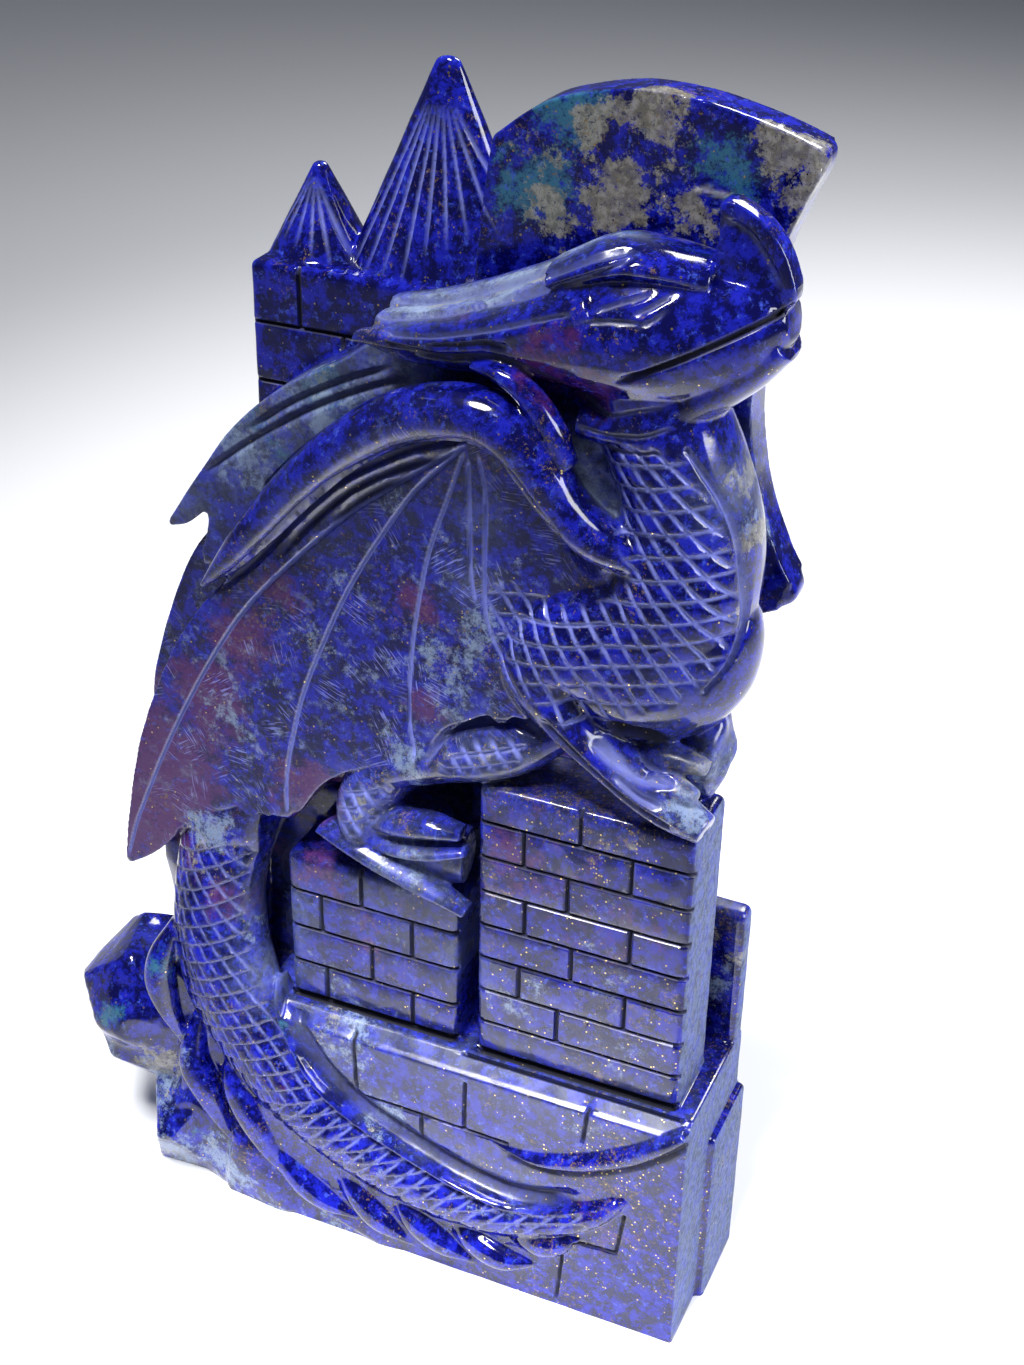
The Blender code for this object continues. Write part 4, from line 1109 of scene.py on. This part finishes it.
# Violet blotches: the stone's own violet, and where the violet mask is strong, painted reflection.
body = mixed(stone, blotch(stone, ragged, given["Violet"], 0.66, 0.82, 0.30), body, VIOLET)
body = mixed(stone, blotch(stone, ragged, given["Teal"], 0.72, 0.84, 0.28), body, TEAL)
body = mixed(stone, ramp(stone, mottle, 0.56, 0.66, 0.0, 0.7), body, BRIGHT_BLUE)
milky = times(stone, blotch(stone, veils, given["Milky"], 0.66, 0.78, 0.25), PATCH_COVER)
body = mixed(stone, milky, body, MILK)
sandy = mixed(stone, ramp(stone, mottle, 0.42, 0.60), CALCITE, SAND)
grey = times(stone, blotch(stone, ragged, given["Calcite"], 0.71, 0.76, 0.24), PATCH_COVER)
body = mixed(stone, grey, body, sandy)
body = mixed(stone, ramp(stone, grains, 0.36, 0.46, 0.75, 0.0), body, NAVY)
brown = worked(stone, "ADD", times(stone, grains, 0.6), times(stone, clouds, 0.4))
rusty = times(stone, blotch(stone, brown, given["Gold"], 0.575, 0.615, 0.03), RUST_COVER)
body = mixed(stone, rusty, body, RUST)
flecks = add_node(
    stone, "ShaderNodeTexVoronoi", {"Vector": given["Position"], "Scale": FLECK_SCALE, "Randomness": 1.0},
)
chance = add_node(stone, "ShaderNodeSeparateColor", {0: flecks.outputs["Color"]}).outputs[0]
rare = ramp(stone, worked(stone, "ADD", chance, times(stone, given["Gold"], 0.10)), 0.985, 0.990)
small = ramp(stone, flecks.outputs["Distance"], 0.25, 0.42, 1.0, 0.0)
stone.links.new(body, out["Color"])
stone.links.new(times(stone, rare, small), out["Pyrite"])

# PAINTED_SHADE is a near-black colour painted as shade into deep hollows and the floors of dark cuts.
FROST, PAINTED_SHADE = (0.23, 0.30, 0.46, 1), (0.003, 0.004, 0.018, 1)
CUT_EDGE = (0.22, 0.26, 0.74, 1)
STROKE_PATCH, STROKE_THREADS = 170.0, (3600.0, 300.0, 300.0)
# Besides the wheel marks, this group paints shade into hollows and cut floors and a highlight onto convex rims.
wheel, given, out = new_group(
    "wheel_marks_and_painted_light",
    (
        ("Color", COLOUR), ("Position", VECTOR), ("Pale", VALUE), ("Dark", VALUE), ("Hollow", VALUE),
        ("Crown", VALUE), ("Frost", VALUE), ("Scored", VALUE),
    ),
    (("Color", COLOUR), ("Dull", VALUE)),
)
powder = fractal(wheel, given["Position"], 900.0, 5.0, 0.75)
rubbed = ramp(wheel, powder, 0.36, 0.60, 0.35, 1.0)
frosted = times(wheel, ramp(wheel, given["Hollow"], 0.10, 0.8), given["Frost"])
frosted = worked(wheel, "MAXIMUM", times(wheel, given["Frost"], 0.40), frosted)
cells = add_node(
    wheel, "ShaderNodeTexVoronoi", {"Vector": given["Position"], "Scale": STROKE_PATCH, "Randomness": 1.0},
)
turn = add_node(wheel, "ShaderNodeSeparateColor", {0: cells.outputs["Color"]}).outputs
angle = times(wheel, turn[0], 2.2)
spun = add_node(
    wheel, "ShaderNodeVectorRotate", {"Vector": given["Position"], "Angle": angle}, rotation_type="Y_AXIS",
).outputs[0]
drawn = add_node(wheel, "ShaderNodeMapping", {"Vector": spun, "Scale": STROKE_THREADS}).outputs[0]
strokes = add_node(wheel, "ShaderNodeTexNoise", {"Vector": drawn, "Scale": 1.0, "Detail": 1.0}).outputs["Fac"]
strokes = times(wheel, ramp(wheel, strokes, 0.56, 0.66), ramp(wheel, turn[1], 0.55, 0.62))
strokes = times(wheel, strokes, ramp(wheel, cells.outputs["Distance"], 0.30, 0.60, 1.0, 0.0))
strokes = times(wheel, strokes, times(wheel, given["Scored"], 0.75))
lines = times(wheel, given["Pale"], ramp(wheel, powder, 0.30, 0.50, 0.75, 1.0))
lines = worked(wheel, "MAXIMUM", lines, strokes)
misty = fractal(wheel, given["Position"], 260.0, 8.0, 0.75)
misty = times(wheel, ramp(wheel, misty, 0.52, 0.64), times(wheel, given["Scored"], 0.6))
frosted = worked(wheel, "MAXIMUM", frosted, misty)
pale_mask = times(wheel, frosted, rubbed)
clear_of_frost = ramp(wheel, given["Frost"], 0.0, 0.6, 0.7, 0.0)
# Painted shade: deep hollows are darkened, less where they are frosted.
deep = times(wheel, ramp(wheel, given["Hollow"], 0.25, 1.0), clear_of_frost)
shade = mixed(wheel, deep, given["Color"], PAINTED_SHADE)
# Painted highlight: convex rims are brightened towards bright blue.
shade = mixed(wheel, times(wheel, ramp(wheel, given["Crown"], 0.3, 1.0), 0.3), shade, BRIGHT_BLUE)
shade = mixed(wheel, pale_mask, shade, FROST)
shade = mixed(wheel, lines, shade, CUT_EDGE)
# Painted shade: the floors of dark cuts are darkened towards near black.
wheel.links.new(mixed(wheel, given["Dark"], shade, PAINTED_SHADE), out["Color"])
unpolished = worked(wheel, "MAXIMUM", times(wheel, given["Frost"], 0.75), pale_mask)
unpolished = worked(wheel, "MAXIMUM", unpolished, lines)
wheel.links.new(worked(wheel, "MAXIMUM", unpolished, given["Dark"]), out["Dull"])

hand, given, out = new_group("hand_polish", (("Position", VECTOR),), (("Height", VALUE), ("Haze", VALUE)))
swell = fractal(hand, given["Position"], 110.0, 2.0, 0.5)
RUBBED_ALONG = (0.25, 1.0, 1.6)
streaks = add_node(hand, "ShaderNodeMapping", {"Vector": given["Position"], "Scale": RUBBED_ALONG}).outputs[0]
scratch = fractal(hand, streaks, 2600.0, 2.0, 0.6)
height = worked(hand, "ADD", swell, times(hand, scratch, 0.03))
hand.links.new(height, out["Height"])
hand.links.new(ramp(hand, swell, 0.4, 0.65), out["Haze"])

GOLD = (0.62, 0.47, 0.20, 1)
STONE_IOR = 1.55
HAZE = 0.05
WAVES = {"Strength": 0.18, "Distance": 0.0006}
POLISHED, SAWN = (0.07, 0.8), (0.5, 0.7)


def dress(material, gloss, matt):
    """Fills a material with the stone, the wheel marks with their painted shade and highlight, and the polish,
    between its two roughnesses.
    """
    tree = material.node_tree
    shader = tree.nodes["Principled BSDF"]
    where = add_node(tree, "ShaderNodeTexCoord").outputs["Object"]
    tones = {label: mark(tree, label.lower()) for label in ("Calcite", "Teal", "Violet", "Milky", "Gold")}
    body = add_node(tree, "ShaderNodeGroup", node_tree=stone)
    marks_and_light_node = add_node(tree, "ShaderNodeGroup", node_tree=wheel)
    polish = add_node(tree, "ShaderNodeGroup", node_tree=hand)
    for node in (body, marks_and_light_node, polish):
        tree.links.new(where, node.inputs["Position"])
    for label, value in tones.items():
        tree.links.new(value, body.inputs[label])
    for label, name in (
        ("Pale", "pale_cut"), ("Dark", "dark_cut_and_shade"), ("Hollow", "hollow"), ("Crown", "crown"),
        ("Frost", "frost"), ("Scored", "scored"),
    ):
        tree.links.new(mark(tree, name), marks_and_light_node.inputs[label])
    tree.links.new(body.outputs["Color"], marks_and_light_node.inputs["Color"])
    coloured = mixed(tree, body.outputs["Pyrite"], marks_and_light_node.outputs["Color"], GOLD)
    tree.links.new(coloured, shader.inputs["Base Color"])
    tree.links.new(body.outputs["Pyrite"], shader.inputs["Metallic"])
    hazy = times(tree, polish.outputs["Haze"], HAZE)
    dull = ramp(tree, marks_and_light_node.outputs["Dull"], 0.0, 0.9, gloss, matt)
    tree.links.new(worked(tree, "ADD", dull, hazy), shader.inputs["Roughness"])
    bump = add_node(tree, "ShaderNodeBump", {**WAVES, "Height": polish.outputs["Height"]})
    tree.links.new(bump.outputs["Normal"], shader.inputs["Normal"])
    shader.inputs["IOR"].default_value = STONE_IOR


dress(lapis, *POLISHED)
sawn = bpy.data.materials.new("sawn_lapis")
sawn.use_nodes = True
dress(sawn, *SAWN)
lean_mesh.materials.clear()
for material in (lapis, sawn):
    lean_mesh.materials.append(material)
SOLE_DOWN = -0.99
is_sole = (face_normals[::3, 2] < SOLE_DOWN).astype(np.int32)
lean_mesh.polygons.foreach_set("material_index", is_sole)

# The floor and the light
# The carving stands on a plain pale floor. A soft key lamp stands at the front left, a
# narrow one lights the floor in front, and two broad ones stand at its right and behind.
FOCAL_PIXELS = 1991.0
PICTURE_HEIGHT = 1365.0
CAMERA_PLACE = Vector((0.128, -0.254, 0.2736))
CAMERA_YAW, CAMERA_PITCH, CAMERA_ROLL = (math.radians(a) for a in (23.06, 30.70, 1.06))

FLOOR_REACH = 4.0
FLOOR_COLOUR, FLOOR_ROUGHNESS = (0.82, 0.83, 0.86, 1), 0.55
SKY, SKY_STRENGTH = (0.80, 0.86, 1.0, 1), 0.12
floor_mesh = bpy.data.meshes.new("table_top")
floor_corners = [(x * FLOOR_REACH, y * FLOOR_REACH, 0) for x, y in ((-1, -1), (1, -1), (1, 1), (-1, 1))]
floor_mesh.from_pydata(floor_corners, [], [(0, 1, 2, 3)])
floor = bpy.data.objects.new("table_top", floor_mesh)
floor.location.z = cad_low.z
bpy.context.scene.collection.objects.link(floor)
pale_top = bpy.data.materials.new("pale_table")
pale_top.use_nodes = True
floor_shader = pale_top.node_tree.nodes["Principled BSDF"]
floor_shader.inputs["Base Color"].default_value = FLOOR_COLOUR
floor_shader.inputs["Roughness"].default_value = FLOOR_ROUGHNESS
floor_mesh.materials.append(pale_top)

LAMPS = (
    ("key_spot", "SPOT", (-0.14, -0.26, 0.95), (0.0, 0.14, 0.06), 0.13, 46.0, 34, (1.0, 0.99, 0.97)),
    ("table_spot", "SPOT", (0.03, -0.25, 0.45), (0.02, -0.065, 0.0), 0.06, 31.0, 16, (1.0, 1.0, 1.0)),
    ("side_fill", "AREA", (0.50, 0.02, 0.35), (0.0, 0.0, 0.06), 0.30, 2.8, 0, (0.95, 0.97, 1.0)),
    ("back_rim", "AREA", (0.10, 0.50, 0.60), (0.0, 0.0, 0.06), 0.30, 4.0, 0, (1.0, 1.0, 1.0)),
)
SPOT_EDGE = 0.45
for name, kind, position, target, size, power, cone, glow in LAMPS:
    lamp = bpy.data.lights.new(name, kind)
    if kind == "SPOT":
        lamp.shadow_soft_size = size
        lamp.spot_size = math.radians(cone)
        lamp.spot_blend = SPOT_EDGE
    else:
        lamp.shape = "DISK"
        lamp.size = size
    lamp.energy = power
    lamp.color = glow
    holder = bpy.data.objects.new(name, lamp)
    holder.location = position
    holder.rotation_euler = (Vector(target) - Vector(position)).to_track_quat("-Z", "Y").to_euler()
    bpy.context.scene.collection.objects.link(holder)
world = bpy.data.worlds.new("studio")
world.use_nodes = True
sky = world.node_tree.nodes["Background"]
sky.inputs["Color"].default_value = SKY
sky.inputs["Strength"].default_value = SKY_STRENGTH
bpy.context.scene.world = world
bpy.context.scene.view_settings.view_transform = "Standard"

forward = Vector((
    -math.sin(CAMERA_YAW) * math.cos(CAMERA_PITCH),
    math.cos(CAMERA_YAW) * math.cos(CAMERA_PITCH),
    -math.sin(CAMERA_PITCH),
))
level = Vector((math.cos(CAMERA_YAW), math.sin(CAMERA_YAW), 0.0))
upward = level.cross(forward)
right = math.cos(CAMERA_ROLL) * level + math.sin(CAMERA_ROLL) * upward
top = right.cross(forward)
camera_data = bpy.data.cameras.new("camera")
camera_data.sensor_fit = "VERTICAL"
camera_data.sensor_height = 36.0
camera_data.lens = camera_data.sensor_height * FOCAL_PIXELS / PICTURE_HEIGHT
camera_data.clip_start = 0.01
camera = bpy.data.objects.new("camera", camera_data)
camera.matrix_world = Matrix.Translation(CAMERA_PLACE) @ Matrix((right, top, -forward)).transposed().to_4x4()
bpy.context.scene.collection.objects.link(camera)
bpy.context.scene.camera = camera
